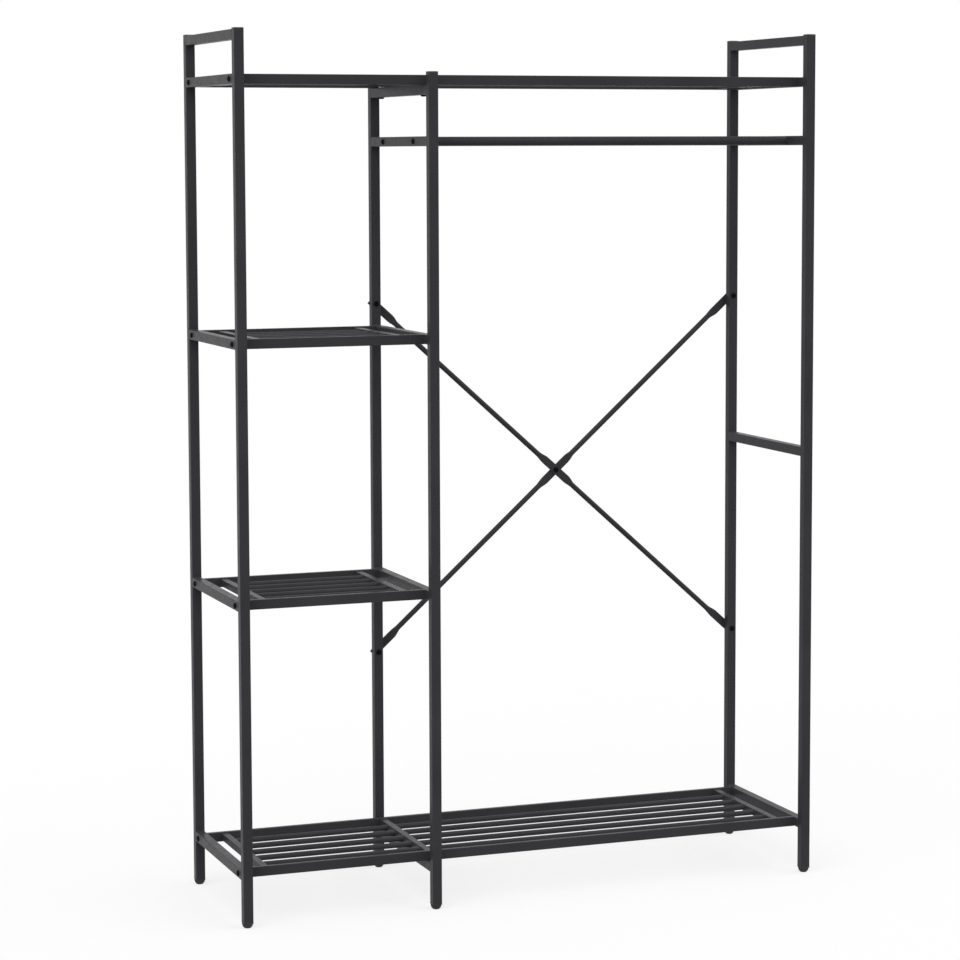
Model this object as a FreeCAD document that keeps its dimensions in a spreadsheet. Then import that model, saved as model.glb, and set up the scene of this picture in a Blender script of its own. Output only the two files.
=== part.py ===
import FreeCAD, Part
import math
import os
import Sketcher

from FreeCAD import Placement, Rotation, Vector

# Open frame wardrobe: three welded side frames, four bolted rod shelves, two hanging rods and a back brace.
# Origin on the floor, under the middle of the whole outline. X to the right, Y to the back, Z up.

doc = FreeCAD.newDocument("open_frame_wardrobe")

# Driving dimensions in millimetres
DIMENSIONS = (
    ("overall_width", 1270),
    ("overall_depth", 394),
    ("post_top", 1800),
    ("middle_post_rise", 4),
    ("small_shelf_length", 384),
    ("tube_size", 20),
    ("tube_wall", 1.2),
    ("tube_corner", 1.5),
    ("bottom_shelf_level", 96),
    ("top_shelf_drop", 87),
    ("shelf_spacing", 525),
    ("rod_drop", 123.5),
    ("side_bar_level", 906),
    ("shelf_rail_depth", 10),
    ("shelf_rail_setback", 30),
    ("shelf_tube_wall", 1),
    ("shelf_tube_corner", 1),
    ("cross_bar_size", 15),
    ("long_shelf_bar_gap", 31),
    ("small_shelf_bar_gap", 35),
    ("slat_diameter", 11.5),
    ("rod_diameter", 19),
    ("rod_wall", 1.2),
    ("rod_spacing", 194),
    ("brace_low", 477),
    ("brace_high", 1234),
    ("brace_diameter", 11.5),
    ("brace_tab_width", 17.5),
    ("brace_tab_thickness", 3),
    ("brace_tab_end", 10),
    ("brace_tab_inner", 49),
    ("brace_centre_flat", 64),
    ("brace_taper", 22),
    ("bolt_diameter", 6),
    ("bolt_head_diameter", 12),
    ("bolt_head_flat", 8),
    ("bolt_head_height", 3.3),
    ("bolt_socket_width", 4),
    ("bolt_socket_depth", 2),
    ("bolt_grip", 12),
    ("bolt_play", 0.3),
    ("bolt_tail", 1),
    ("thread_play", 0.05),
    ("nut_width", 10),
    ("nut_height", 4),
    ("plug_length", 16),
    ("rivet_nut_diameter", 9),
    ("rivet_flange_diameter", 13),
    ("middle_bolt_inset", 22.5),
    ("cap_plate", 2.5),
    ("cap_leg", 12),
    ("insert_flange", 1.5),
    ("insert_leg", 24),
    ("foot_diameter", 23),
    ("foot_height", 10),
    ("foot_flat_diameter", 13),
    ("foot_stud_diameter", 8),
    ("foot_stud_length", 22),
)
SLATS_PER_SHELF = 5
SLAT_STEPS = [step - (SLATS_PER_SHELF - 1) / 2 for step in range(SLATS_PER_SHELF)]

sizes = doc.addObject("Spreadsheet::Sheet", "sizes")
for row, (word, value) in enumerate(DIMENSIONS, start=1):
    sizes.set("A%d" % row, word)
    sizes.set("B%d" % row, str(value))
    sizes.setAlias("B%d" % row, word)
doc.recompute()

# Directions in which a piece drawn upward is laid
UPWARD = Rotation()
TO_BACK = Rotation(Vector(1, 0, 0), -90)
TO_RIGHT = Rotation(Vector(0, 1, 0), 90)
TO_LEFT = Rotation(Vector(0, 1, 0), -90)

# Positions of the frames across the width
LEFT = "(-(sizes.overall_width - sizes.tube_size) / 2)"
RIGHT = "((sizes.overall_width - sizes.tube_size) / 2)"
MIDDLE = "(-sizes.overall_width / 2 + 1.5 * sizes.tube_size + sizes.small_shelf_length)"
HALF_TUBE = "(sizes.tube_size / 2)"

# Positions through the depth, with the outline's middle on the origin
FOOT_OVERHANG = "((sizes.foot_diameter - sizes.tube_size) / 2)"
DEPTH_CENTRE = f"(({FOOT_OVERHANG} - sizes.brace_diameter) / 2)"
FRONT = f"({DEPTH_CENTRE} - (sizes.overall_depth - sizes.tube_size) / 2)"
BACK = f"({DEPTH_CENTRE} + (sizes.overall_depth - sizes.tube_size) / 2)"
RAIL_OFFSET = "((sizes.overall_depth - sizes.tube_size) / 2 - sizes.shelf_rail_setback)"
SHELF_FRONT = f"({DEPTH_CENTRE} - {RAIL_OFFSET})"
SHELF_BACK = f"({DEPTH_CENTRE} + {RAIL_OFFSET})"
SIDE_RAIL_LENGTH = "(sizes.overall_depth - 2 * sizes.tube_size)"
SIDE_RAIL_START = f"({FRONT} + {HALF_TUBE})"
CROSS_BAR_LENGTH = f"(2 * {RAIL_OFFSET} - sizes.shelf_rail_depth)"
CROSS_BAR_START = f"({SHELF_FRONT} + sizes.shelf_rail_depth / 2)"
SLAT_PITCH = f"(2 * {RAIL_OFFSET} / {SLATS_PER_SHELF + 1})"

# Shelf ends and cross bars along the width
SHELF_LEFT_END = f"({LEFT} + {HALF_TUBE})"
LONG_RIGHT_END = f"({RIGHT} - {HALF_TUBE})"
SMALL_RIGHT_END = f"({MIDDLE} - {HALF_TUBE})"
HALF_BAR = "(sizes.cross_bar_size / 2)"
LONG_LEFT_BAR = f"({SHELF_LEFT_END} + sizes.long_shelf_bar_gap + {HALF_BAR})"
LONG_RIGHT_BAR = f"({LONG_RIGHT_END} - sizes.long_shelf_bar_gap - {HALF_BAR})"
SMALL_LEFT_BAR = f"({SHELF_LEFT_END} + sizes.small_shelf_bar_gap + {HALF_BAR})"
SMALL_RIGHT_BAR = f"({SMALL_RIGHT_END} - sizes.small_shelf_bar_gap - {HALF_BAR})"

# Heights of tube centres
TOP_RAIL = f"(sizes.post_top - {HALF_TUBE})"
TOP_SHELF = f"({TOP_RAIL} - sizes.top_shelf_drop)"
UPPER_SHELF = f"({TOP_SHELF} - sizes.shelf_spacing)"
LOWER_SHELF = f"({UPPER_SHELF} - sizes.shelf_spacing)"
BOTTOM_SHELF = f"(sizes.bottom_shelf_level + {HALF_TUBE})"
ROD_RAIL = f"({TOP_SHELF} - sizes.rod_drop)"
SIDE_BAR = f"(sizes.side_bar_level + {HALF_TUBE})"
TOP_CROSS_RAIL = f"({TOP_SHELF} - sizes.tube_size)"
BOTTOM_CROSS_RAIL = f"({BOTTOM_SHELF} - sizes.tube_size)"
MIDDLE_POST_TOP = f"({TOP_SHELF} + {HALF_TUBE} + sizes.middle_post_rise)"
POST_BOTTOM = "(sizes.foot_height + sizes.insert_flange)"

# Diagonal of the back brace between its bolts
BRACE_SPAN = f"({RIGHT} - {MIDDLE})"
BRACE_RISE = "(sizes.brace_high - sizes.brace_low)"
BRACE_HALF = f"(sqrt({BRACE_SPAN}^2 + {BRACE_RISE}^2) / 2)"
POST_BACK_FACE = f"({BACK} + {HALF_TUBE})"

nodes = []


def bind(item, formulas):
    """Bind properties of a document object to formulas over the sheet."""
    for name, formula in formulas.items():
        item.setExpression(name, formula)
    return item


def lay(item, direction, x, y, z):
    """Turn an object in one of the named directions and bind its position."""
    item.Placement = Placement(Vector(), direction)
    return bind(item, {"Placement.Base.x": x, "Placement.Base.y": y, "Placement.Base.z": z})


def primitive(kind, name, formulas, direction=UPWARD, x="0", y="0", z="0"):
    """A Part primitive with bound sizes and position."""
    item = doc.addObject("Part::" + kind, name)
    return lay(bind(item, formulas), direction, x, y, z)


def node(item, label):
    """Name an object as one piece of the wardrobe."""
    item.Label = label
    nodes.append(item)
    return item


def size_constraint(sketch, name, constraint, formula):
    """Add a dimension to a sketch and bind it."""
    index = sketch.addConstraint(constraint)
    sketch.renameConstraint(index, name)
    sketch.setExpression("Constraints." + name, formula)


def start_body(name, role="XY_Plane"):
    """A new body with an empty sketch on one of its origin planes."""
    body = doc.addObject("PartDesign::Body", name)
    sketch = body.newObject("Sketcher::SketchObject", name + "_section")
    plane = [item for item in body.Origin.OriginFeatures if item.Role == role][0]
    sketch.AttachmentSupport = [(plane, "")]
    sketch.MapMode = "FlatFace"
    return body, sketch


def pad_body(body, sketch, length):
    """Pad a body's section to a bound length."""
    pad = body.newObject("PartDesign::Pad", body.Name + "_pad")
    pad.Profile = sketch
    pad.setExpression("Length", length)
    body.Tip = pad
    return body


def draw_rounded_rectangle(sketch, width, height, corner):
    """Outer outline of a rectangular tube, centred on the sketch origin."""
    half, radius = 10.0, 1.0
    inset = half - radius
    first = sketch.GeometryCount
    centres = (Vector(inset, inset), Vector(-inset, inset), Vector(-inset, -inset), Vector(inset, -inset))
    arcs = []
    for turn, centre in enumerate(centres):
        circle = Part.Circle(centre, Vector(0, 0, 1), radius)
        arcs.append(Part.ArcOfCircle(circle, turn * math.pi / 2, (turn + 1) * math.pi / 2))
    for arc in arcs:
        sketch.addGeometry(arc, False)
    for turn in range(4):
        following = (turn + 1) % 4
        side = first + 4 + turn
        sketch.addGeometry(Part.LineSegment(arcs[turn].EndPoint, arcs[following].StartPoint), False)
        sketch.addConstraint(Sketcher.Constraint("Tangent", first + turn, 2, side, 1))
        sketch.addConstraint(Sketcher.Constraint("Tangent", side, 2, first + following, 1))
        sketch.addConstraint(Sketcher.Constraint("Horizontal" if turn % 2 == 0 else "Vertical", side))
    for turn in range(1, 4):
        sketch.addConstraint(Sketcher.Constraint("Equal", first, first + turn))
    sketch.addConstraint(Sketcher.Constraint("Symmetric", first, 3, first + 2, 3, -1, 1))
    top, left, bottom, right = range(first + 4, first + 8)
    size_constraint(sketch, "Width", Sketcher.Constraint("DistanceX", left, 1, right, 1, 2 * half), width)
    size_constraint(sketch, "Height", Sketcher.Constraint("DistanceY", bottom, 1, top, 1, 2 * half), height)
    size_constraint(sketch, "Corner", Sketcher.Constraint("Radius", first, radius), corner)


def draw_rectangle(sketch, width, height):
    """Inner outline of a rectangular tube, centred on the sketch origin."""
    half = 5.0
    first = sketch.GeometryCount
    corners = (Vector(half, half), Vector(-half, half), Vector(-half, -half), Vector(half, -half))
    for turn in range(4):
        sketch.addGeometry(Part.LineSegment(corners[turn], corners[(turn + 1) % 4]), False)
    for turn in range(4):
        side, following = first + turn, first + (turn + 1) % 4
        sketch.addConstraint(Sketcher.Constraint("Coincident", side, 2, following, 1))
        sketch.addConstraint(Sketcher.Constraint("Horizontal" if turn % 2 == 0 else "Vertical", side))
    sketch.addConstraint(Sketcher.Constraint("Symmetric", first, 1, first + 2, 1, -1, 1))
    across = Sketcher.Constraint("DistanceX", first, 2, first, 1, 2 * half)
    upright = Sketcher.Constraint("DistanceY", first + 1, 2, first + 1, 1, 2 * half)
    size_constraint(sketch, "InnerWidth", across, width)
    size_constraint(sketch, "InnerHeight", upright, height)


def rectangular_tube(name, width, height, wall, corner, length):
    """A hollow rectangular tube standing on the XY plane."""
    body, sketch = start_body(name)
    draw_rounded_rectangle(sketch, width, height, corner)
    draw_rectangle(sketch, f"{width} - 2 * {wall}", f"{height} - 2 * {wall}")
    return pad_body(body, sketch, length)


def round_tube(name, diameter, wall, length):
    """A hollow round tube standing on the XY plane."""
    body, sketch = start_body(name)
    outer = sketch.addGeometry(Part.Circle(Vector(), Vector(0, 0, 1), 6), False)
    inner = sketch.addGeometry(Part.Circle(Vector(), Vector(0, 0, 1), 5), False)
    for circle in (outer, inner):
        sketch.addConstraint(Sketcher.Constraint("Coincident", circle, 3, -1, 1))
    size_constraint(sketch, "Outside", Sketcher.Constraint("Diameter", outer, 12), diameter)
    bore = f"{diameter} - 2 * {wall}"
    size_constraint(sketch, "Inside", Sketcher.Constraint("Diameter", inner, 10), bore)
    return pad_body(body, sketch, length)


def frame_tube(name, length):
    """The square tube of the posts and frame rails."""
    size, wall, corner = "sizes.tube_size", "sizes.tube_wall", "sizes.tube_corner"
    return rectangular_tube(name, size, size, wall, corner, length)


def fused(name, items):
    """Several overlapping solids joined into one."""
    item = doc.addObject("Part::MultiFuse", name)
    item.Shapes = items
    return item


def cut(name, base, tools):
    """A solid with one or more holes."""
    item = doc.addObject("Part::Cut", name)
    item.Base = base
    item.Tool = tools[0] if len(tools) == 1 else fused(name + "_tools", tools)
    return item


def copy_at(master, name, direction, x, y, z):
    """A placed copy of a repeated piece."""
    link = doc.addObject("App::Link", name)
    link.LinkedObject = master
    link.LinkTransform = False
    return lay(link, direction, x, y, z)


def group(label, members):
    """Separate like solids kept together as one piece."""
    item = doc.addObject("Part::Compound", label + "_group")
    item.Links = members
    return node(item, label)


def bolt_hole(name, direction, length, x, y, z):
    """Clearance hole for a frame bolt."""
    formulas = {"Radius": "sizes.bolt_diameter / 2 + sizes.bolt_play", "Height": length}
    return primitive("Cylinder", name, formulas, direction, x, y, z)


def thread_hole(name, diameter, length, z="0"):
    """Threaded hole, drawn upward as a plain bore."""
    formulas = {"Radius": f"{diameter} / 2 + sizes.thread_play", "Height": length}
    return primitive("Cylinder", name, formulas, z=z)


# Bolt holes along the width, one pair at each level
def crosswise_holes(name, offset, height):
    """Two holes through every side rail at one height, mirrored about the middle of the depth."""
    start = f"{LEFT} - sizes.tube_size"
    length = "sizes.overall_width + sizes.tube_size"
    holes = []
    for side, sign in (("front", "-"), ("back", "+")):
        y = f"{DEPTH_CENTRE} {sign} {offset}"
        holes.append(bolt_hole(f"{name}_{side}_hole", TO_RIGHT, length, start, y, height))
    return holes


shelf_heights = {"top": TOP_SHELF, "upper": UPPER_SHELF, "lower": LOWER_SHELF, "bottom": BOTTOM_SHELF}
shelf_holes = {}
for shelf, height in shelf_heights.items():
    shelf_holes[shelf] = crosswise_holes(shelf, RAIL_OFFSET, height)
rod_holes = crosswise_holes("rod", "sizes.rod_spacing / 2", ROD_RAIL)


# Upright holes through the middle cross rails
MIDDLE_BOLT_OFFSET = f"({RAIL_OFFSET} - sizes.middle_bolt_inset)"


def upright_holes(name, height):
    """Two bolt holes up through a middle cross rail."""
    holes = []
    for side, sign in (("front", "-"), ("back", "+")):
        y = f"{DEPTH_CENTRE} {sign} {MIDDLE_BOLT_OFFSET}"
        z = f"{height} - sizes.tube_size"
        holes.append(bolt_hole(f"{name}_{side}_hole", UPWARD, "2 * sizes.tube_size", MIDDLE, y, z))
    return holes


# Posts, the two behind the hanging bay drilled for the brace
def brace_holes(frame, x):
    """Two holes from front to back through a back post."""
    start = f"{BACK} - sizes.tube_size"
    length = "2 * sizes.tube_size"
    low = bolt_hole(frame + "_low_brace_hole", TO_BACK, length, x, start, "sizes.brace_low")
    high = bolt_hole(frame + "_high_brace_hole", TO_BACK, length, x, start, "sizes.brace_high")
    return [low, high]


frames = {
    "left": (LEFT, "sizes.post_top"),
    "middle": (MIDDLE, MIDDLE_POST_TOP),
    "right": (RIGHT, "sizes.post_top"),
}
rows = {"front": FRONT, "back": BACK}
for frame, (x, top) in frames.items():
    for depth, y in rows.items():
        post = frame_tube(f"{frame}_{depth}_tube", f"{top} - {POST_BOTTOM}")
        lay(post, UPWARD, x, y, POST_BOTTOM)
        if depth == "back" and frame != "left":
            post = cut(f"{frame}_{depth}_drilled", post, brace_holes(frame, x))
        node(post, f"{frame}_{depth}_post")


# Rails from front to back in the three side frames
def side_rail(label, x, height, holes):
    """One frame rail between a front and a back post."""
    rail = frame_tube(label + "_tube", SIDE_RAIL_LENGTH)
    lay(rail, TO_BACK, x, SIDE_RAIL_START, height)
    if holes:
        rail = cut(label + "_drilled", rail, holes)
    node(rail, label)


side_rail("left_top_rail", LEFT, TOP_RAIL, [])
for shelf, height in shelf_heights.items():
    side_rail(f"left_{shelf}_shelf_rail", LEFT, height, shelf_holes[shelf])
top_cross_holes = upright_holes("top_cross", TOP_CROSS_RAIL)
bottom_cross_holes = upright_holes("bottom_cross", BOTTOM_CROSS_RAIL)
side_rail("middle_top_cross_rail", MIDDLE, TOP_CROSS_RAIL, top_cross_holes)
side_rail("middle_rod_rail", MIDDLE, ROD_RAIL, rod_holes)
side_rail("middle_upper_shelf_rail", MIDDLE, UPPER_SHELF, shelf_holes["upper"])
side_rail("middle_lower_shelf_rail", MIDDLE, LOWER_SHELF, shelf_holes["lower"])
side_rail("middle_bottom_cross_rail", MIDDLE, BOTTOM_CROSS_RAIL, bottom_cross_holes)
side_rail("right_top_rail", RIGHT, TOP_RAIL, [])
side_rail("right_top_shelf_rail", RIGHT, TOP_SHELF, shelf_holes["top"])
side_rail("right_rod_rail", RIGHT, ROD_RAIL, rod_holes)
side_rail("right_side_bar", RIGHT, SIDE_BAR, [])
side_rail("right_bottom_shelf_rail", RIGHT, BOTTOM_SHELF, shelf_holes["bottom"])


# Shelves: two long rails, cross bars and round slats between the bars
def shelf_rail(label, right_end, y, height):
    """A flat tube along the front or back edge of a shelf."""
    length = f"{right_end} - {SHELF_LEFT_END}"
    height_size, depth_size = "sizes.tube_size", "sizes.shelf_rail_depth"
    wall, corner = "sizes.shelf_tube_wall", "sizes.shelf_tube_corner"
    rail = rectangular_tube(label + "_tube", height_size, depth_size, wall, corner, length)
    lay(rail, TO_RIGHT, SHELF_LEFT_END, y, height)
    node(rail, label)


def cross_bar(name, x, height):
    """A square tube from the front rail to the back rail of a shelf."""
    size, wall, corner = "sizes.cross_bar_size", "sizes.shelf_tube_wall", "sizes.shelf_tube_corner"
    bar = rectangular_tube(name, size, size, wall, corner, CROSS_BAR_LENGTH)
    return lay(bar, TO_BACK, x, CROSS_BAR_START, height)


def middle_bar(name, height):
    """The cross bar over the middle frame, drilled below for its two rivet nuts."""
    bar = cross_bar(name + "_bar", MIDDLE, height)
    holes = []
    for side, sign in (("front", "-"), ("back", "+")):
        formulas = {"Radius": "sizes.rivet_nut_diameter / 2", "Height": "sizes.cross_bar_size"}
        y = f"{DEPTH_CENTRE} {sign} {MIDDLE_BOLT_OFFSET}"
        z = f"{height} - sizes.cross_bar_size"
        holes.append(primitive("Cylinder", f"{name}_{side}_nut_hole", formulas, UPWARD, MIDDLE, y, z))
    return cut(name + "_drilled_bar", bar, holes)


def slat_run(name, left_bar, right_bar, height):
    """A row of round slats between two cross bars."""
    start = f"{left_bar} + {HALF_BAR}"
    length = f"{right_bar} - {left_bar} - sizes.cross_bar_size"
    master = round_tube(name, "sizes.slat_diameter", "sizes.shelf_tube_wall", length)
    slats = []
    for number, step in enumerate(SLAT_STEPS, start=1):
        y = f"{DEPTH_CENTRE} + {step} * {SLAT_PITCH}"
        slats.append(copy_at(master, f"{name}_{number}", TO_RIGHT, start, y, height))
    return slats


for shelf, height in shelf_heights.items():
    long_shelf = shelf in ("top", "bottom")
    right_end = LONG_RIGHT_END if long_shelf else SMALL_RIGHT_END
    shelf_rail(f"{shelf}_shelf_front_rail", right_end, SHELF_FRONT, height)
    shelf_rail(f"{shelf}_shelf_back_rail", right_end, SHELF_BACK, height)
    if long_shelf:
        left_bar, right_bar = LONG_LEFT_BAR, LONG_RIGHT_BAR
        bars = [middle_bar(shelf + "_middle", height)]
        slats = slat_run(shelf + "_left_slat", left_bar, MIDDLE, height)
        slats += slat_run(shelf + "_right_slat", MIDDLE, right_bar, height)
    else:
        left_bar, right_bar = SMALL_LEFT_BAR, SMALL_RIGHT_BAR
        bars = []
        slats = slat_run(shelf + "_slat", left_bar, right_bar, height)
    bars.append(cross_bar(shelf + "_left_bar", left_bar, height))
    bars.append(cross_bar(shelf + "_right_bar", right_bar, height))
    group(f"{shelf}_shelf_cross_bars", bars)
    group(f"{shelf}_shelf_slats", slats)

# Hanging rods across the wide bay
ROD_START = f"({MIDDLE} + {HALF_TUBE})"
ROD_LENGTH = f"({LONG_RIGHT_END} - {ROD_START})"
for depth, sign in (("front", "-"), ("back", "+")):
    rod = round_tube(depth + "_rod_tube", "sizes.rod_diameter", "sizes.rod_wall", ROD_LENGTH)
    lay(rod, TO_RIGHT, ROD_START, f"{DEPTH_CENTRE} {sign} sizes.rod_spacing / 2", ROD_RAIL)
    node(rod, depth + "_hanging_rod")


# Back brace: two round bars flattened at the ends and where they cross
TAB_HALF = "(sizes.brace_tab_width / 2)"
TAB_MIDDLE = "(sizes.brace_tab_thickness / 2)"
ROUND_MIDDLE = "(sizes.brace_diameter / 2)"
FLAT_START = f"({BRACE_HALF} - sizes.brace_tab_inner)"
ROUND_END = f"({FLAT_START} - sizes.brace_taper)"
CENTRE_FLAT_END = "(sizes.brace_centre_flat / 2)"
ROUND_START = f"({CENTRE_FLAT_END} + sizes.brace_taper)"


def taper(name, flat_x, flat_y, round_x):
    """The change from the flattened section to the round one."""
    flat_sizes = {"MajorRadius": TAB_HALF, "MinorRadius": TAB_MIDDLE}
    flat = primitive("Ellipse", name + "_flat", flat_sizes, TO_RIGHT, flat_x, flat_y)
    full = primitive("Circle", name + "_round", {"Radius": ROUND_MIDDLE}, TO_RIGHT, round_x, ROUND_MIDDLE)
    loft = doc.addObject("Part::Loft", name)
    loft.Sections = [flat, full]
    loft.Solid = True
    loft.Ruled = True
    return loft


def tab(name, start, end, y):
    """A flattened length of the bar."""
    formulas = {
        "Length": f"{end} - {start}",
        "Width": "sizes.brace_tab_thickness",
        "Height": "sizes.brace_tab_width",
    }
    return primitive("Box", name, formulas, UPWARD, start, y, f"-{TAB_HALF}")


def brace(label, centre_y, turn_axis):
    """One bar of the cross, drawn level with its bolt faces on local Y 0 and then turned to its slope."""
    bar_sizes = {"Radius": ROUND_MIDDLE, "Height": f"{ROUND_END} - {ROUND_START}"}
    half = fused(label + "_half", [
        tab(label + "_centre_tab", "0", CENTRE_FLAT_END, centre_y),
        taper(label + "_centre_taper", CENTRE_FLAT_END, f"{centre_y} + {TAB_MIDDLE}", ROUND_START),
        primitive("Cylinder", label + "_bar", bar_sizes, TO_RIGHT, ROUND_START, ROUND_MIDDLE),
        taper(label + "_end_taper", FLAT_START, TAB_MIDDLE, ROUND_END),
        tab(label + "_end_tab", FLAT_START, f"({BRACE_HALF} + sizes.brace_tab_end)", "0"),
    ])
    other = doc.addObject("Part::Mirroring", label + "_other_half")
    other.Source = half
    other.Normal = Vector(1, 0, 0)
    holes = []
    for place, x in (("left", f"-{BRACE_HALF}"), ("centre", "0"), ("right", BRACE_HALF)):
        y = "-sizes.brace_diameter"
        holes.append(bolt_hole(f"{label}_{place}_hole", TO_BACK, "3 * sizes.brace_diameter", x, y, "0"))
    item = cut(label + "_drilled", fused(label + "_whole", [half, other]), holes)
    lay(item, Rotation(turn_axis, 45), f"({MIDDLE} + {RIGHT}) / 2", POST_BACK_FACE, BRACE_CENTRE_HEIGHT)
    item.setExpression("Placement.Rotation.Angle", f"atan({BRACE_RISE} / {BRACE_SPAN})")
    node(item, label)


BRACE_CENTRE_HEIGHT = "(sizes.brace_low + sizes.brace_high) / 2"
brace("falling_brace", "0", Vector(0, 1, 0))
brace("rising_brace", "sizes.brace_tab_thickness", Vector(0, -1, 0))


# Fasteners
def bolt(name, length):
    """A round-headed socket bolt, its head under Z 0 and its shank upward."""
    head_sizes = {
        "Radius1": "sizes.bolt_head_flat / 2",
        "Radius2": "sizes.bolt_head_diameter / 2",
        "Height": "sizes.bolt_head_height",
    }
    socket_sizes = {
        "Circumradius": "sizes.bolt_socket_width / sqrt(3)",
        "Height": "sizes.bolt_socket_depth",
    }
    head = primitive("Cone", name + "_head", head_sizes, z="-sizes.bolt_head_height")
    shank = primitive("Cylinder", name + "_shank", {"Radius": "sizes.bolt_diameter / 2", "Height": length})
    socket = primitive("Prism", name + "_socket", socket_sizes, z="-sizes.bolt_head_height")
    return cut(name, fused(name + "_blank", [head, shank]), [socket])


frame_bolt = bolt("frame_bolt", "sizes.tube_size + sizes.bolt_grip")
OUTER_LEFT = f"{LEFT} - {HALF_TUBE}"
OUTER_RIGHT = f"{RIGHT} + {HALF_TUBE}"
bolt_copies = []
for shelf, height in shelf_heights.items():
    far_face = OUTER_RIGHT if shelf in ("top", "bottom") else f"{MIDDLE} + {HALF_TUBE}"
    for depth, y in (("front", SHELF_FRONT), ("back", SHELF_BACK)):
        place = f"{shelf}_{depth}"
        bolt_copies.append(copy_at(frame_bolt, place + "_left_bolt", TO_RIGHT, OUTER_LEFT, y, height))
        bolt_copies.append(copy_at(frame_bolt, place + "_right_bolt", TO_LEFT, far_face, y, height))
for depth, sign in (("front", "-"), ("back", "+")):
    rod_y = f"{DEPTH_CENTRE} {sign} sizes.rod_spacing / 2"
    cross_y = f"{DEPTH_CENTRE} {sign} {MIDDLE_BOLT_OFFSET}"
    rod_left = f"{MIDDLE} - {HALF_TUBE}"
    rod = depth + "_rod"
    bolt_copies.append(copy_at(frame_bolt, rod + "_left_bolt", TO_RIGHT, rod_left, rod_y, ROD_RAIL))
    bolt_copies.append(copy_at(frame_bolt, rod + "_right_bolt", TO_LEFT, OUTER_RIGHT, rod_y, ROD_RAIL))
    for place, height in (("top", TOP_CROSS_RAIL), ("bottom", BOTTOM_CROSS_RAIL)):
        head_z = f"{height} - {HALF_TUBE}"
        name = f"{depth}_{place}_cross_bolt"
        bolt_copies.append(copy_at(frame_bolt, name, UPWARD, MIDDLE, cross_y, head_z))
group("frame_bolts", bolt_copies)

# Threaded plugs in the ends of the shelf rails
plug_sizes = {
    "Length": "sizes.tube_size - 2 * sizes.shelf_tube_wall",
    "Width": "sizes.shelf_rail_depth - 2 * sizes.shelf_tube_wall",
    "Height": "sizes.plug_length",
}
plug_block = primitive("Box", "plug_block", plug_sizes)
bind(plug_block, {
    "Placement.Base.x": "-sizes.tube_size / 2 + sizes.shelf_tube_wall",
    "Placement.Base.y": "-sizes.shelf_rail_depth / 2 + sizes.shelf_tube_wall",
})
shelf_plug_thread = thread_hole("shelf_plug_thread", "sizes.bolt_diameter", "sizes.plug_length")
shelf_plug = cut("shelf_plug", plug_block, [shelf_plug_thread])
plug_copies = []
for shelf, height in shelf_heights.items():
    far_end = LONG_RIGHT_END if shelf in ("top", "bottom") else SMALL_RIGHT_END
    for depth, y in (("front", SHELF_FRONT), ("back", SHELF_BACK)):
        place = f"{shelf}_{depth}"
        plug_copies.append(copy_at(shelf_plug, place + "_left_plug", TO_RIGHT, SHELF_LEFT_END, y, height))
        plug_copies.append(copy_at(shelf_plug, place + "_right_plug", TO_LEFT, far_end, y, height))
group("shelf_end_plugs", plug_copies)

# Threaded plugs in the ends of the hanging rods
rod_plug_sizes = {"Radius": "sizes.rod_diameter / 2 - sizes.rod_wall", "Height": "sizes.plug_length"}
rod_plug_block = primitive("Cylinder", "rod_plug_block", rod_plug_sizes)
rod_plug_thread = thread_hole("rod_plug_thread", "sizes.bolt_diameter", "sizes.plug_length")
rod_plug = cut("rod_plug", rod_plug_block, [rod_plug_thread])
plug_copies = []
for depth, sign in (("front", "-"), ("back", "+")):
    y = f"{DEPTH_CENTRE} {sign} sizes.rod_spacing / 2"
    plug_copies.append(copy_at(rod_plug, depth + "_rod_left_plug", TO_RIGHT, ROD_START, y, ROD_RAIL))
    plug_copies.append(copy_at(rod_plug, depth + "_rod_right_plug", TO_LEFT, LONG_RIGHT_END, y, ROD_RAIL))
group("rod_end_plugs", plug_copies)

# Rivet nuts under the middle cross bars, their flanges filling the step between bar and cross rail
BAR_STEP = "((sizes.tube_size - sizes.cross_bar_size) / 2)"
flange_sizes = {"Radius": "sizes.rivet_flange_diameter / 2", "Height": BAR_STEP}
sleeve_sizes = {"Radius": "sizes.rivet_nut_diameter / 2", "Height": "sizes.bolt_grip"}
rivet_blank = fused("rivet_blank", [
    primitive("Cylinder", "rivet_flange", flange_sizes),
    primitive("Cylinder", "rivet_sleeve", sleeve_sizes),
])
rivet_thread = thread_hole("rivet_thread", "sizes.bolt_diameter", "sizes.bolt_grip")
rivet_nut = cut("rivet_nut", rivet_blank, [rivet_thread])
nut_copies = []
for depth, sign in (("front", "-"), ("back", "+")):
    y = f"{DEPTH_CENTRE} {sign} {MIDDLE_BOLT_OFFSET}"
    for place in ("top", "bottom"):
        level = f"{shelf_heights[place]} - {HALF_TUBE}"
        nut_copies.append(copy_at(rivet_nut, f"{depth}_{place}_rivet_nut", UPWARD, MIDDLE, y, level))
group("middle_rivet_nuts", nut_copies)

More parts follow.
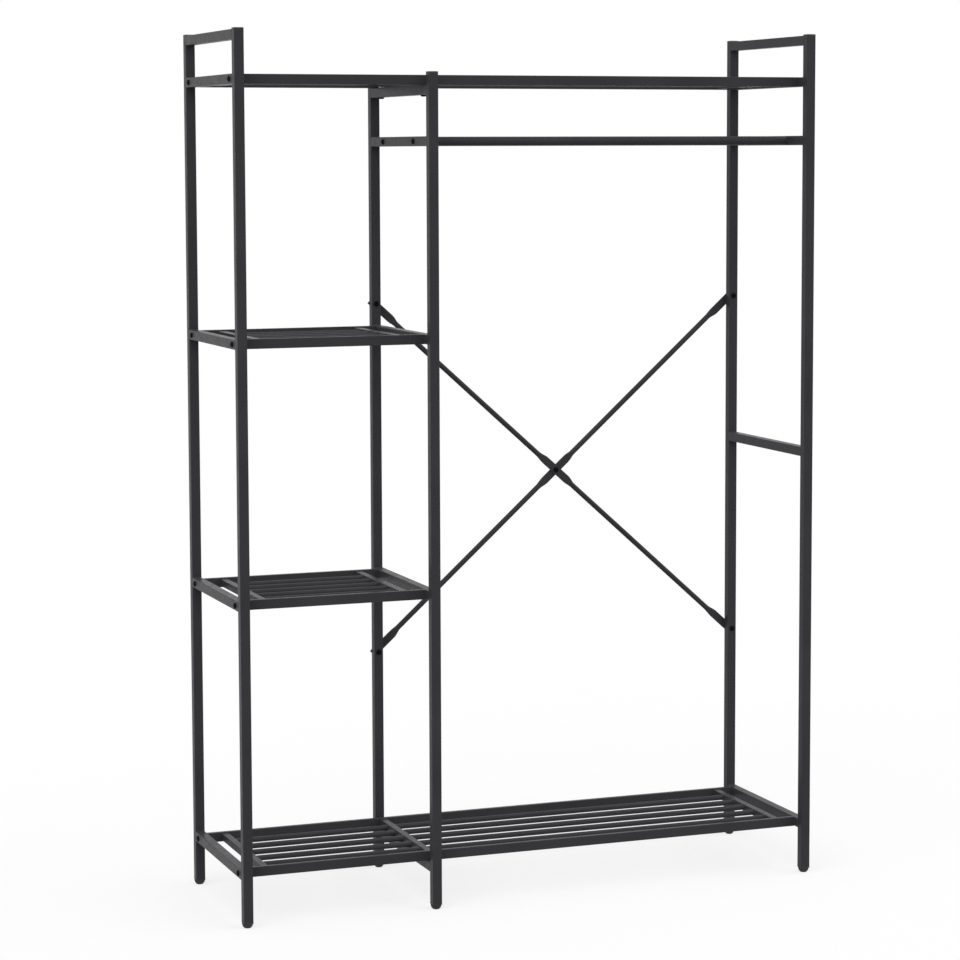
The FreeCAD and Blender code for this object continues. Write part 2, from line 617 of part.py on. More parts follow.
# Brace bolts with their heads on the fronts of the back posts, and the bolt at the crossing
POST_FRONT_FACE = f"({BACK} - {HALF_TUBE})"
corners = [(x, z) for x in (MIDDLE, RIGHT) for z in ("sizes.brace_low", "sizes.brace_high")]
BRACE_GRIP = "sizes.tube_size + sizes.brace_tab_thickness + sizes.nut_height"
brace_bolt = bolt("brace_bolt", f"{BRACE_GRIP} + sizes.bolt_tail")
bolt_copies = []
for number, (x, z) in enumerate(corners, start=1):
    bolt_copies.append(copy_at(brace_bolt, f"brace_bolt_{number}", TO_BACK, x, POST_FRONT_FACE, z))
group("brace_bolts", bolt_copies)
BRACE_CENTRE_X = f"(({MIDDLE} + {RIGHT}) / 2)"
centre_bolt = bolt("centre_bolt", "2 * sizes.brace_tab_thickness + sizes.nut_height")
lay(centre_bolt, TO_BACK, BRACE_CENTRE_X, POST_BACK_FACE, BRACE_CENTRE_HEIGHT)
node(centre_bolt, "brace_centre_bolt")
nut_sizes = {"Circumradius": "sizes.nut_width / sqrt(3)", "Height": "sizes.nut_height"}
nut_blank = primitive("Prism", "nut_blank", nut_sizes)
nut = cut("hex_nut", nut_blank, [thread_hole("nut_thread", "sizes.bolt_diameter", "sizes.nut_height")])
nut_copies = []
for number, (x, z) in enumerate(corners, start=1):
    y = f"{POST_BACK_FACE} + sizes.brace_tab_thickness"
    nut_copies.append(copy_at(nut, f"brace_nut_{number}", TO_BACK, x, y, z))
y = f"{POST_BACK_FACE} + 2 * sizes.brace_tab_thickness"
nut_copies.append(copy_at(nut, "brace_centre_nut", TO_BACK, BRACE_CENTRE_X, y, BRACE_CENTRE_HEIGHT))
group("brace_nuts", nut_copies)


# Post ends: caps above, threaded inserts and levelling feet below
def centred_block(name, size, height, z):
    """A square block about the Z axis."""
    item = primitive("Box", name, {"Length": size, "Width": size, "Height": height}, z=z)
    return bind(item, {"Placement.Base.x": f"-({size}) / 2", "Placement.Base.y": f"-({size}) / 2"})


BORE = "sizes.tube_size - 2 * sizes.tube_wall"
post_cap = fused("post_cap", [
    centred_block("cap_top", "sizes.tube_size", "sizes.cap_plate", "0"),
    centred_block("cap_plug", BORE, "sizes.cap_leg", "-sizes.cap_leg"),
])
insert_blank = fused("insert_blank", [
    centred_block("insert_base", "sizes.tube_size", "sizes.insert_flange", "0"),
    centred_block("insert_plug", BORE, "sizes.insert_leg", "sizes.insert_flange"),
])
insert_length = "sizes.insert_flange + sizes.insert_leg"
insert_thread = thread_hole("insert_thread", "sizes.foot_stud_diameter", insert_length)
foot_insert = cut("foot_insert", insert_blank, [insert_thread])



def draw_foot(sketch):
    """Half section of a levelling foot: a domed pad on a flat base, with a stud above."""
    base, dome, pad_top = sizes.foot_flat_diameter / 2, sizes.foot_diameter / 2, sizes.foot_height
    stud, stud_top = sizes.foot_stud_diameter / 2, sizes.foot_height + sizes.foot_stud_length
    dome_radius = (pad_top**2 + (dome - base)**2) / (2 * (dome - base))
    circle = Part.Circle(Vector(dome - dome_radius, pad_top), Vector(0, 0, 1), dome_radius)
    arc_start = -math.asin(pad_top / dome_radius)
    under = sketch.addGeometry(Part.LineSegment(Vector(0, 0), Vector(base, 0)), False)
    side = sketch.addGeometry(Part.ArcOfCircle(circle, arc_start, 0), False)
    outline = [Vector(dome, pad_top), Vector(stud, pad_top), Vector(stud, stud_top)]
    outline += [Vector(0, stud_top), Vector()]
    lines = [under, side]
    for first, second in zip(outline, outline[1:]):
        lines.append(sketch.addGeometry(Part.LineSegment(first, second), False))
    shoulder, stud_side, stud_end, axis = lines[2:]
    for line, following in zip(lines, lines[1:] + lines[:1]):
        sketch.addConstraint(Sketcher.Constraint("Coincident", line, 2, following, 1))
    sketch.addConstraint(Sketcher.Constraint("Coincident", under, 1, -1, 1))
    for line in (under, shoulder, stud_end):
        sketch.addConstraint(Sketcher.Constraint("Horizontal", line))
    for line in (stud_side, axis):
        sketch.addConstraint(Sketcher.Constraint("Vertical", line))
    sketch.addConstraint(Sketcher.Constraint("Horizontal", side, 3, shoulder, 1))
    across = Sketcher.Constraint("DistanceX", -1, 1, shoulder, 1, dome)
    stud_across = Sketcher.Constraint("DistanceX", -1, 1, shoulder, 2, stud)
    upright = Sketcher.Constraint("DistanceY", -1, 1, shoulder, 1, pad_top)
    stud_upright = Sketcher.Constraint("DistanceY", stud_side, 1, stud_side, 2, stud_top - pad_top)
    flat = Sketcher.Constraint("DistanceX", under, 1, under, 2, base)
    size_constraint(sketch, "Flat", flat, "sizes.foot_flat_diameter / 2")
    size_constraint(sketch, "Pad", across, "sizes.foot_diameter / 2")
    size_constraint(sketch, "PadHeight", upright, "sizes.foot_height")
    size_constraint(sketch, "Stud", stud_across, "sizes.foot_stud_diameter / 2")
    size_constraint(sketch, "StudLength", stud_upright, "sizes.foot_stud_length")


foot, foot_section = start_body("levelling_foot", "XZ_Plane")
draw_foot(foot_section)
turned_foot = foot.newObject("PartDesign::Revolution", "turned_foot")
turned_foot.Profile = foot_section
turned_foot.ReferenceAxis = (foot_section, ["V_Axis"])
turned_foot.Angle = 360
foot.Tip = turned_foot

cap_copies = []
insert_copies = []
for frame, (x, top) in frames.items():
    for depth, y in rows.items():
        place = f"{frame}_{depth}"
        cap_copies.append(copy_at(post_cap, place + "_cap", UPWARD, x, y, top))
        insert_copies.append(copy_at(foot_insert, place + "_insert", UPWARD, x, y, "sizes.foot_height"))
group("post_caps", cap_copies)
group("foot_inserts", insert_copies)
for frame, (x, top) in frames.items():
    for depth, y in rows.items():
        place = f"{frame}_{depth}"
        group(place + "_foot", [copy_at(foot, place + "_foot_copy", UPWARD, x, y, "0")])

# Build, check and write every piece
doc.recompute()
for item in doc.Objects:
    if "Invalid" in item.State or "Error" in item.State:
        raise RuntimeError("%s did not build: %s" % (item.Label, item.State))
os.makedirs("parts", exist_ok=True)
for item in nodes:
    shape = item.Shape
    if shape.isNull() or not shape.isValid() or not shape.Solids:
        raise RuntimeError("%s has no valid solid" % item.Label)
    shape.exportStep("parts/%s.step" % item.Label)
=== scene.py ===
import math

import bmesh
import bpy
from bpy.props import FloatProperty, FloatVectorProperty, IntProperty, PointerProperty
from mathutils import Matrix, Vector


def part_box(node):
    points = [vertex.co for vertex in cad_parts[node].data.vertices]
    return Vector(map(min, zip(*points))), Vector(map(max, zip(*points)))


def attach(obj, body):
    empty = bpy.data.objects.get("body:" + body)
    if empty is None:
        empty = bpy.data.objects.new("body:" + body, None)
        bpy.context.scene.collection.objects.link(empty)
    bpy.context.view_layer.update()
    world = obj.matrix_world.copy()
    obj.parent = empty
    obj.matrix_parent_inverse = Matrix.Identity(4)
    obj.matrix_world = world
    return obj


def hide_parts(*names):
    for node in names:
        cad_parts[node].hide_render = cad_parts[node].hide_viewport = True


# Open frame wardrobe: the finished look of the tubes, slats, rods, brace, fasteners, caps and feet.
# Everything is in metres, X to the right, Y to the back, Z up, with the floor at Z 0.

bl_info = {
    "name": "Open frame wardrobe",
    "version": (1, 0, 0),
    "blender": (4, 5, 0),
    "location": "View3D > Sidebar > Wardrobe",
    "description": "Dresses the wardrobe's tubes, shelves, rods, brace and fasteners, and sets its stage",
    "category": "Object",
}

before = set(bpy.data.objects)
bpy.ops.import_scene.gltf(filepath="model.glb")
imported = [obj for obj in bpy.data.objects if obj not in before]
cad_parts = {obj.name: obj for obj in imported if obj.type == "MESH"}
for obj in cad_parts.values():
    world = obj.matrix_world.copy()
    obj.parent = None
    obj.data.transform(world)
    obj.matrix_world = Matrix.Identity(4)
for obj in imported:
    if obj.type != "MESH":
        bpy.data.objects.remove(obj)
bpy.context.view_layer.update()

# Names of the frame's pieces
BODY = "wardrobe"
SHELVES = ("top", "upper", "lower", "bottom")
LONG_SHELVES = ("top", "bottom")
ROWS = ("front", "back")
FRAME_RAILS = {
    "left": ("top_rail", "top_shelf_rail", "upper_shelf_rail", "lower_shelf_rail", "bottom_shelf_rail"),
    "middle": ("top_cross_rail", "rod_rail", "upper_shelf_rail", "lower_shelf_rail", "bottom_cross_rail"),
    "right": ("top_rail", "top_shelf_rail", "rod_rail", "side_bar", "bottom_shelf_rail"),
}
SIDE_RAILS = tuple(side + "_" + rail for side, rails in FRAME_RAILS.items() for rail in rails)
POST_PLACES = tuple(side + "_" + row for side in FRAME_RAILS for row in ROWS)
FLUSH_TOP_RAILS = ("left_top_rail", "right_top_rail")
INNER_FINISHES = {
    "shelf_end_plugs": "zinc_steel",
    "rod_end_plugs": "zinc_steel",
    "middle_rivet_nuts": "zinc_steel",
    "foot_inserts": "foot_plastic",
}

# Directions, turns and units
LEFTWARD, RIGHTWARD = Vector((-1, 0, 0)), Vector((1, 0, 0))
FORWARD, BACKWARD = Vector((0, -1, 0)), Vector((0, 1, 0))
DOWNWARD, UPWARD = Vector((0, 0, -1)), Vector((0, 0, 1))
UNSTRETCHED = Vector((1, 1, 1))
QUARTER_TURN = math.radians(90)
FULL_TURN = math.radians(360)
HEXAGON_TURN = math.radians(60)
MILLIMETRE = 0.001
MIDDLE_X = sum(corner.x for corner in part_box("middle_front_post")) / 2

# Facets and steps of the rounded forms
LEAST_SIDES = 8
CORNER_STEPS = 5
BRACE_SIDES = 32
TAPER_STEPS = 8
FASTENER_SIDES = 24
DOME_STEPS = 5
FOOT_SIDES = 40
FOOT_STEPS = 8
BEAD_SIDES = 10
RING_STEPS = 28

# Angles in degrees past which an edge is shaded sharp
EDGE_SHARP = 35.0
BAR_SHARP = 40.0

# Tubes and slats: the holding point beside a corner as a share of its radius, and the end of a rod
HOLD_SHARE = 1 / 3
ROD_EDGE = 0.4 * MILLIMETRE
SLATS_PER_RUN = 5

# Brace: how square a section is, and the trim of a cut end as (distance from the end, inset)
TAB_POWER = 9.0
ROUND_POWER = 2.0
END_TRIM = ((0.0006, 0.0), (0.0003, 0.0001), (0.0, 0.0004))

# Bolts: shares of the head's height and radius, of the shank's radius and of the socket's width
HEAD_RIM = 0.12
HEAD_FLAT = 0.5
POINT_RADIUS = 0.8
POINT_LENGTH = 0.3
SOCKET_LIP = 0.62
SOCKET_EDGE = 0.2 * MILLIMETRE

# Nuts: shares of the shank's radius, of the nut's height and of its width
NUT_BORE = 1.02
NUT_CHAMFER = 0.12
NUT_TOP = 0.48

# Random turns of the fasteners
FRAME_BOLT_SEED = 3
BRACE_BOLT_SEED = 5
BRACE_NUT_SEED = 9

# Caps: the lead of the leg, and the rounded edge as (inset, height) in shares of the plate
LEG_LEAD = 0.3 * MILLIMETRE
LEG_LEAD_LENGTH = MILLIMETRE
CAP_EDGE = ((0.0, 0.55), (0.12, 0.8), (0.36, 0.95), (0.7, 1.0))

# Feet: the edge of the pad, and shares of the thread's pitch
FOOT_EDGE = 0.4 * MILLIMETRE
THREAD_DEPTH = 0.5
THREAD_START = 0.25

# Weld beads: share of a bar's width, half a strip as (distance along, size), waves of ripple per metre
BEAD_SHARE = 0.85
STRIP_HALF = ((0.2, 1.0), (0.46, 1.0), (0.49, 0.75), (0.5, 0.35))
RIPPLE_SCALE = 450.0

# Finishes: the middle and the used part of a noise, worn edges, and the gloss of coat and oxide
NOISE_MIDDLE = 0.5
NOISE_SPAN = (0.3, 0.7)
FULL_SPAN = (0.0, 1.0)
EDGE_SPAN = (0.82, 0.98)
EDGE_SAMPLES = 4
COAT_IOR = 1.14
OXIDE_IOR = 1.1
GRAIN_GLOSS = 0.06

# Stage
FLOOR_REACH = 30.0
KEY_DIRECTION = (-0.5, -0.45, 0.75)
FILL_DIRECTION = (0.7, -0.3, 0.65)
SENSOR_WIDTH = 36.0
FARTHEST_VIEW = 100.0


# Sizes and finishes that a user would change
def length_value(name, description, default):
    """A length in metres."""
    return FloatProperty(name=name, description=description, default=default, unit="LENGTH")


def count_value(name, description, default):
    """A count of facets."""
    return IntProperty(name=name, description=description, default=default, min=LEAST_SIDES)


def number_value(name, description, default):
    """A number without a unit."""
    return FloatProperty(name=name, description=description, default=default)


def colour_value(name, description, default):
    """A colour."""
    return FloatVectorProperty(
        name=name,
        description=description,
        default=default,
        subtype="COLOR",
        size=3,
        min=0,
        max=1,
    )


class TubeSizes(bpy.types.PropertyGroup):
    """Edges of the tubes, and facets of the slats and rods."""

    frame_corner: length_value("Frame corner", "Outer corner radius of the posts and frame rails", 0.0015)
    shelf_corner: length_value("Shelf corner", "Outer corner radius of the shelf rails and bars", 0.001)
    slat_sides: count_value("Slat sides", "Facets round a shelf slat", 28)
    rod_sides: count_value("Rod sides", "Facets round a hanging rod", 48)


class BraceSizes(bpy.types.PropertyGroup):
    """Shape of the flattened round bars behind the hanging bay."""

    bar_radius: length_value("Bar radius", "Radius of the round part of a brace", 0.00575)
    tab_width: length_value("Tab width", "Width of the flattened ends and centre", 0.0175)
    tab_thickness: length_value("Tab thickness", "Thickness of the flattened ends and centre", 0.003)
    tab_end: length_value("Tab end", "How far a flattened end runs past its bolt", 0.01)
    tab_inner: length_value("Tab inner length", "How far the flat runs from an end bolt inwards", 0.049)
    centre_flat: length_value("Centre flat", "Length of the flat where the bars cross", 0.064)
    taper: length_value("Taper", "Length of the change from flat to round", 0.022)


class FastenerSizes(bpy.types.PropertyGroup):
    """Bolts and nuts."""

    head_radius: length_value("Head radius", "Radius of a bolt head", 0.006)
    head_height: length_value("Head height", "Height of a bolt head", 0.0033)
    socket_width: length_value("Socket width", "Width across the flats of the hexagon socket", 0.004)
    socket_depth: length_value("Socket depth", "Depth of the hexagon socket", 0.002)
    shank_radius: length_value("Shank radius", "Radius of a bolt shank", 0.003)
    frame_bolt_length: length_value("Frame bolt length", "Length of a frame bolt under its head", 0.032)
    nut_width: length_value("Nut width", "Width across the flats of a brace nut", 0.01)
    nut_height: length_value("Nut height", "Height of a brace nut", 0.004)
    flange_radius: length_value("Rivet nut flange", "Radius of a rivet nut's flange in a cross bar", 0.0065)


class EndSizes(bpy.types.PropertyGroup):
    """Caps and feet at the post ends."""

    cap_plate: length_value("Cap plate", "Thickness of the visible plate of a post cap", 0.0025)
    tube_wall: length_value("Tube wall", "Wall of the post that a cap's leg fits inside", 0.0012)
    foot_flat_radius: length_value("Foot flat", "Radius of the flat under a foot", 0.0065)
    foot_height: length_value("Foot height", "Height of a foot's domed pad", 0.01)
    stud_radius: length_value("Stud radius", "Radius over the thread of a foot's stud", 0.004)
    thread_pitch: length_value("Thread pitch", "Distance between threads on a foot's stud", 0.00125)


class WeldSizes(bpy.types.PropertyGroup):
    """Weld beads at the joints."""

    rail_bead: length_value("Rail bead", "Radius of the bead between a rail and a post", 0.0013)
    slat_bead: length_value("Slat bead", "Radius of the bead at a slat or a cross bar", 0.0009)
    ripple: length_value("Ripple", "Height of the ripples along a bead", 0.0003)


class CoatFinish(bpy.types.PropertyGroup):
    """Colours of the finishes."""

    coat_colour: colour_value("Coat colour", "Powder coat of tubes and brace", (0.05, 0.0495, 0.055))
    bolt_colour: colour_value("Bolt colour", "Blackened bolts and nuts", (0.007, 0.007, 0.0075))
    plastic_colour: colour_value("Plastic colour", "Caps, inserts and feet", (0.012, 0.012, 0.012))
    steel_colour: colour_value("Steel colour", "Zinc-plated pieces inside the tubes", (0.48, 0.48, 0.47))


class StageSettings(bpy.types.PropertyGroup):
    """Camera, light and floor."""

    camera_place: FloatVectorProperty(
        name="Camera place",
        description="Where the camera stands",
        default=(-2.1571, -5.6547, 1.5583),
        subtype="TRANSLATION",
        size=3,
    )
    camera_turn: FloatVectorProperty(
        name="Camera turn",
        description="Pitch, roll and heading of the camera",
        default=(math.radians(-5.409), math.radians(-0.198), math.radians(-20.446)),
        subtype="EULER",
        size=3,
    )
    light_angle: FloatProperty(
        name="Light spread",
        description="How wide the key and fill lights look from the object",
        default=math.radians(60),
        subtype="ANGLE",
    )
    lens: number_value("Lens", "Focal length in millimetres on a 36 mm sensor", 107.26)
    shift: number_value("Vertical shift", "Shift of the picture, as a part of its width", -0.06)
    room_light: number_value("Room light", "Strength of the soft light from all round", 0.55)
    key_light: number_value("Key light", "Strength of the broad light from the left front", 1.2)
    fill_light: number_value("Fill light", "Strength of the broad light from the right", 0.8)
    floor_shade: number_value("Floor shade", "Reflectance of the pale floor", 0.3)


# Mesh building
def polar(radius, angle):
    """A pair at a radius and an angle."""
    return Vector((radius * math.cos(angle), radius * math.sin(angle)))


def ring_points(half_width, half_height, corner):
    """A rounded rectangle as pairs, anticlockwise, with a holding point on both sides of each corner."""
    hold = HOLD_SHARE * corner
    points = []
    signs = ((1, 1), (-1, 1), (-1, -1), (1, -1))
    for quarter, (sign_a, sign_b) in enumerate(signs):
        centre = Vector((sign_a * (half_width - corner), sign_b * (half_height - corner)))
        first, last = QUARTER_TURN * quarter, QUARTER_TURN * (quarter + 1)
        angles = [first + QUARTER_TURN * step / CORNER_STEPS for step in range(CORNER_STEPS + 1)]
        arc = [centre + polar(corner, angle) for angle in angles]
        points.append(arc[0] + polar(hold, first - QUARTER_TURN))
        points += arc
        points.append(arc[-1] + polar(hold, last + QUARTER_TURN))
    return points


def squared_ring(half_width, half_height, power, sides):
    """An oval as pairs: round at power 2, nearly rectangular at a high power."""
    points = []
    for side in range(sides):
        angle = FULL_TURN * (2 * side + 1) / (2 * sides)
        across, upward = math.cos(angle), math.sin(angle)
        a = half_width * math.copysign(abs(across) ** (2 / power), across)
        b = half_height * math.copysign(abs(upward) ** (2 / power), upward)
        points.append(Vector((a, b)))
    return points


def circle_ring(radius, sides):
    """A circle as pairs, anticlockwise."""
    return [polar(radius, FULL_TURN * side / sides) for side in range(sides)]


def hexagon_ring(width, sides):
    """A hexagon as pairs, with as many points as a circle so that the two can be joined."""
    points = []
    for side in range(sides):
        angle = FULL_TURN * side / sides
        from_flat = (angle % HEXAGON_TURN) - HEXAGON_TURN / 2
        points.append(polar(width / 2 / math.cos(from_flat), angle))
    return points


def stand_ring(points, axis, along, centre=(0.0, 0.0)):
    """Put pairs on a plane across an axis, at a distance along it."""
    turns = "XYZ".index(axis)
    stood = []
    for point in points:
        place = (along, point.x + centre[0], point.y + centre[1])
        stood.append(Vector(place[-turns:] + place[:-turns]))
    return stood


def turned_rings(outline, sides, centre=(0.0, 0.0)):
    """Circles about Z for an outline of (radius, height)."""
    return [stand_ring(circle_ring(radius, sides), "Z", height, centre) for radius, height in outline]


def loft(bm, rings, round_trip=False):
    """Skin a row of rings, with a flat face at both ends, or on a round trip back to the first ring."""
    rows = [[bm.verts.new(point) for point in ring] for ring in rings]
    followers = rows[1:] + rows[:1] if round_trip else rows[1:]
    for row, following in zip(rows, followers):
        count = len(row)
        for index in range(count):
            after = (index + 1) % count
            bm.faces.new((row[index], row[after], following[after], following[index]))
    if not round_trip:
        bm.faces.new(list(reversed(rows[0])))
        bm.faces.new(rows[-1])


def rounded_tube(bm, low, high, axis, corner):
    """A rounded rectangular bar that fills a box along one axis."""
    index = "XYZ".index(axis)
    across, upward = (index + 1) % 3, (index + 2) % 3
    half_width = (high[across] - low[across]) / 2
    half_height = (high[upward] - low[upward]) / 2
    centre = ((high[across] + low[across]) / 2, (high[upward] + low[upward]) / 2)
    points = ring_points(half_width, half_height, corner)
    loft(bm, [stand_ring(points, axis, along, centre) for along in (low[index], high[index])])


def finish_mesh(bm, name, sharp=EDGE_SHARP):
    """Turn a bmesh into a mesh with smooth faces and sharp edges past an angle in degrees."""
    bmesh.ops.recalc_face_normals(bm, faces=bm.faces)
    mesh = bpy.data.meshes.new(name)
    bm.to_mesh(mesh)
    bm.free()
    smooth_mesh(mesh, sharp)
    return mesh


def smooth_mesh(mesh, sharp=EDGE_SHARP):
    """Shade a mesh smooth between its sharp edges."""
    mesh.shade_smooth()
    mesh.set_sharp_from_angle(angle=math.radians(sharp))


def lofted_mesh(name, rings, sharp=EDGE_SHARP, round_trip=False):
    """A finished mesh over a row of rings."""
    bm = bmesh.new()
    loft(bm, rings, round_trip)
    return finish_mesh(bm, name, sharp)


def middle_of(node):
    """The middle of a node's box."""
    low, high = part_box(node)
    return (low + high) / 2


# Pieces
def link_object(name, data):
    """A new object in the scene."""
    made = bpy.data.objects.new(name, data)
    bpy.context.scene.collection.objects.link(made)
    return made


def add_piece(name, mesh, material, nodes, body=BODY):
    """Link a finished mesh as a piece that stands for the named nodes."""
    mesh.materials.clear()
    mesh.materials.append(material)
    piece = link_object(name, mesh)
    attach(piece, body)
    if nodes:
        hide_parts(*nodes)
    return piece


def add_coated(name, mesh, node):
    """Link a powder-coated piece that stands for one node."""
    add_piece(name, mesh, finish("powder_coat"), [node])


def add_tube(node, axis, corner):
    """Round and coat the tube that fills a node's box along one axis."""
    bm = bmesh.new()
    rounded_tube(bm, *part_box(node), axis, corner)
    add_coated(node + "_tube", finish_mesh(bm, node + "_tube"), node)


def add_set(name, master, spots, look, slot, nodes, **settings):
    """Set copies of a small mesh on their spots, and link them as one piece."""
    mesh = scatter(name, master, spots, finish(look), **settings)
    add_piece(name, mesh, finish(look), nodes)


def add_fasteners(name, master, spots, node, spin=0.0, seed=0):
    """Set blackened bolts or nuts on their spots, each turned by chance up to an angle."""
    add_set(name, master, spots, "black_oxide", "bolt_black", [node], spin=spin, seed=seed)


# Geometry Nodes
def new_tree(name, inputs):
    """A geometry tree with named inputs, and its input and output nodes."""
    tree = bpy.data.node_groups.new(name, "GeometryNodeTree")
    tree.interface.new_socket("Geometry", in_out="INPUT", socket_type="NodeSocketGeometry")
    for label, kind in inputs:
        tree.interface.new_socket(label, in_out="INPUT", socket_type="NodeSocket" + kind)
    tree.interface.new_socket("Geometry", in_out="OUTPUT", socket_type="NodeSocketGeometry")
    return tree, add_node(tree, "NodeGroupInput"), add_node(tree, "NodeGroupOutput")


def add_node(tree, kind, **settings):
    """A node of a tree with its settings."""
    node = tree.nodes.new(kind)
    for name, value in settings.items():
        setattr(node, name, value)
    return node


def wire(tree, *links):
    """Link nodes, each link as (node, output, node, input) with its sockets by name or number."""
    for source, output, target, socket in links:
        tree.links.new(source.outputs[output], target.inputs[socket])


def run_tree(tree, name, mesh, values):
    """Run a tree on a mesh with its inputs set, and give back the result as a plain mesh."""
    holder = link_object(name, mesh)
    modifier = holder.modifiers.new("build", "NODES")
    modifier.node_group = tree
    for item in tree.interface.items_tree:
        if item.item_type == "SOCKET" and item.in_out == "INPUT" and item.name in values:
            modifier[item.identifier] = values[item.name]
    graph = bpy.context.evaluated_depsgraph_get()
    graph.update()
    result = bpy.data.meshes.new_from_object(holder.evaluated_get(graph))
    holder.modifiers.remove(modifier)
    bpy.data.objects.remove(holder)
    if not result.polygons:
        raise RuntimeError("the tree %s made nothing for %s" % (tree.name, name))
    result.name = name
    return result


def slat_tree():
    """Tree: a row of round slats side by side."""
    inputs = (
        ("Start", "Vector"),
        ("Length", "Float"),
        ("Radius", "Float"),
        ("Pitch", "Float"),
        ("Count", "Int"),
        ("Sides", "Int"),
        ("Material", "Material"),
    )
    tree, given, made = new_tree("slat_row", inputs)
    step = add_node(tree, "ShaderNodeCombineXYZ")
    places = add_node(tree, "GeometryNodeMeshLine", mode="OFFSET")
    end = add_node(tree, "ShaderNodeCombineXYZ")
    path = add_node(tree, "GeometryNodeCurvePrimitiveLine")
    section = add_node(tree, "GeometryNodeCurvePrimitiveCircle")
    slat = add_node(tree, "GeometryNodeCurveToMesh")
    slat.inputs["Fill Caps"].default_value = True
    spread = add_node(tree, "GeometryNodeInstanceOnPoints")
    real = add_node(tree, "GeometryNodeRealizeInstances")
    paint = add_node(tree, "GeometryNodeSetMaterial")
    wire(
        tree,
        (given, "Pitch", step, "Y"),
        (given, "Count", places, "Count"),
        (given, "Start", places, "Start Location"),
        (step, 0, places, "Offset"),
        (given, "Length", end, "X"),
        (end, 0, path, "End"),
        (given, "Radius", section, "Radius"),
        (given, "Sides", section, "Resolution"),
        (path, 0, slat, "Curve"),
        (section, 0, slat, "Profile Curve"),
        (places, 0, spread, "Points"),
        (slat, 0, spread, "Instance"),
        (spread, 0, real, "Geometry"),
        (real, 0, paint, "Geometry"),
        (given, "Material", paint, "Material"),
        (paint, 0, made, "Geometry"),
    )
    return tree


def scatter_tree():
    """Tree: one small piece on every point, aimed, turned about its aim and stretched, with a ripple."""
    inputs = (
        ("Piece", "Object"),
        ("Spin", "Float"),
        ("Ripple", "Float"),
        ("Ripple Scale", "Float"),
        ("Seed", "Int"),
        ("Material", "Material"),
    )
    tree, given, made = new_tree("set_on_points", inputs)
    piece = add_node(tree, "GeometryNodeObjectInfo")
    aim = add_node(tree, "GeometryNodeInputNamedAttribute", data_type="FLOAT_VECTOR")
    aim.inputs["Name"].default_value = "aim"
    stretch = add_node(tree, "GeometryNodeInputNamedAttribute", data_type="FLOAT_VECTOR")
    stretch.inputs["Name"].default_value = "stretch"
    aligned = add_node(tree, "FunctionNodeAlignRotationToVector", axis="Z")
    chance = add_node(tree, "FunctionNodeRandomValue", data_type="FLOAT")
    spin = add_node(tree, "ShaderNodeCombineXYZ")
    as_turn = add_node(tree, "FunctionNodeEulerToRotation")
    turned = add_node(tree, "FunctionNodeRotateRotation", rotation_space="LOCAL")
    spread = add_node(tree, "GeometryNodeInstanceOnPoints")
    real = add_node(tree, "GeometryNodeRealizeInstances")
    place = add_node(tree, "GeometryNodeInputPosition")
    noise = add_node(tree, "ShaderNodeTexNoise")
    centred = add_node(tree, "ShaderNodeMath", operation="SUBTRACT")
    centred.inputs[1].default_value = NOISE_MIDDLE
    height = add_node(tree, "ShaderNodeMath", operation="MULTIPLY")
    normal = add_node(tree, "GeometryNodeInputNormal")
    lift = add_node(tree, "ShaderNodeVectorMath", operation="SCALE")
    ripple = add_node(tree, "GeometryNodeSetPosition")
    paint = add_node(tree, "GeometryNodeSetMaterial")
    wire(
        tree,
        (given, "Piece", piece, "Object"),
        (aim, "Attribute", aligned, "Vector"),
        (given, "Spin", chance, "Max"),
        (given, "Seed", chance, "Seed"),
        (chance, "Value", spin, "Z"),
        (spin, 0, as_turn, 0),
        (aligned, 0, turned, "Rotation"),
        (as_turn, 0, turned, "Rotate By"),
        (given, "Geometry", spread, "Points"),
        (piece, "Geometry", spread, "Instance"),
        (turned, 0, spread, "Rotation"),
        (stretch, "Attribute", spread, "Scale"),
        (spread, 0, real, "Geometry"),
        (place, 0, noise, "Vector"),
        (given, "Ripple Scale", noise, "Scale"),
        (noise, 0, centred, 0),
        (centred, 0, height, 0),
        (given, "Ripple", height, 1),
        (normal, 0, lift, 0),
        (height, 0, lift, "Scale"),
        (real, 0, ripple, "Geometry"),
        (lift, 0, ripple, "Offset"),
        (ripple, 0, paint, "Geometry"),
        (given, "Material", paint, "Material"),
        (paint, 0, made, "Geometry"),
    )
    return tree


def spot(x, y, z, aim, stretch=UNSTRETCHED):
    """A place for a copy of a small mesh, with the way that its Z points and its stretch."""
    return Vector((x, y, z)), aim, stretch


def scatter(name, master_mesh, spots, material, spin=0.0, ripple=0.0, seed=0):
    """Copies of a small mesh on spots of (place, aim, stretch), as one mesh."""
    places, aims, stretches = zip(*spots)
    points = bpy.data.meshes.new(name + "_points")
    points.from_pydata(places, [], [])
    for label, vectors in (("aim", aims), ("stretch", stretches)):
        attribute = points.attributes.new(label, "FLOAT_VECTOR", "POINT")
        for item, vector in zip(attribute.data, vectors):
            item.vector = vector
    master = link_object(name + "_master", master_mesh)
    tree = bpy.data.node_groups.get("set_on_points") or scatter_tree()
    values = {
        "Piece": master,
        "Spin": spin,
        "Ripple": ripple,
        "Ripple Scale": RIPPLE_SCALE,
        "Seed": seed,
        "Material": material,
    }
    mesh = run_tree(tree, name, points, values)
    bpy.data.objects.remove(master)
    smooth_mesh(mesh)
    return mesh


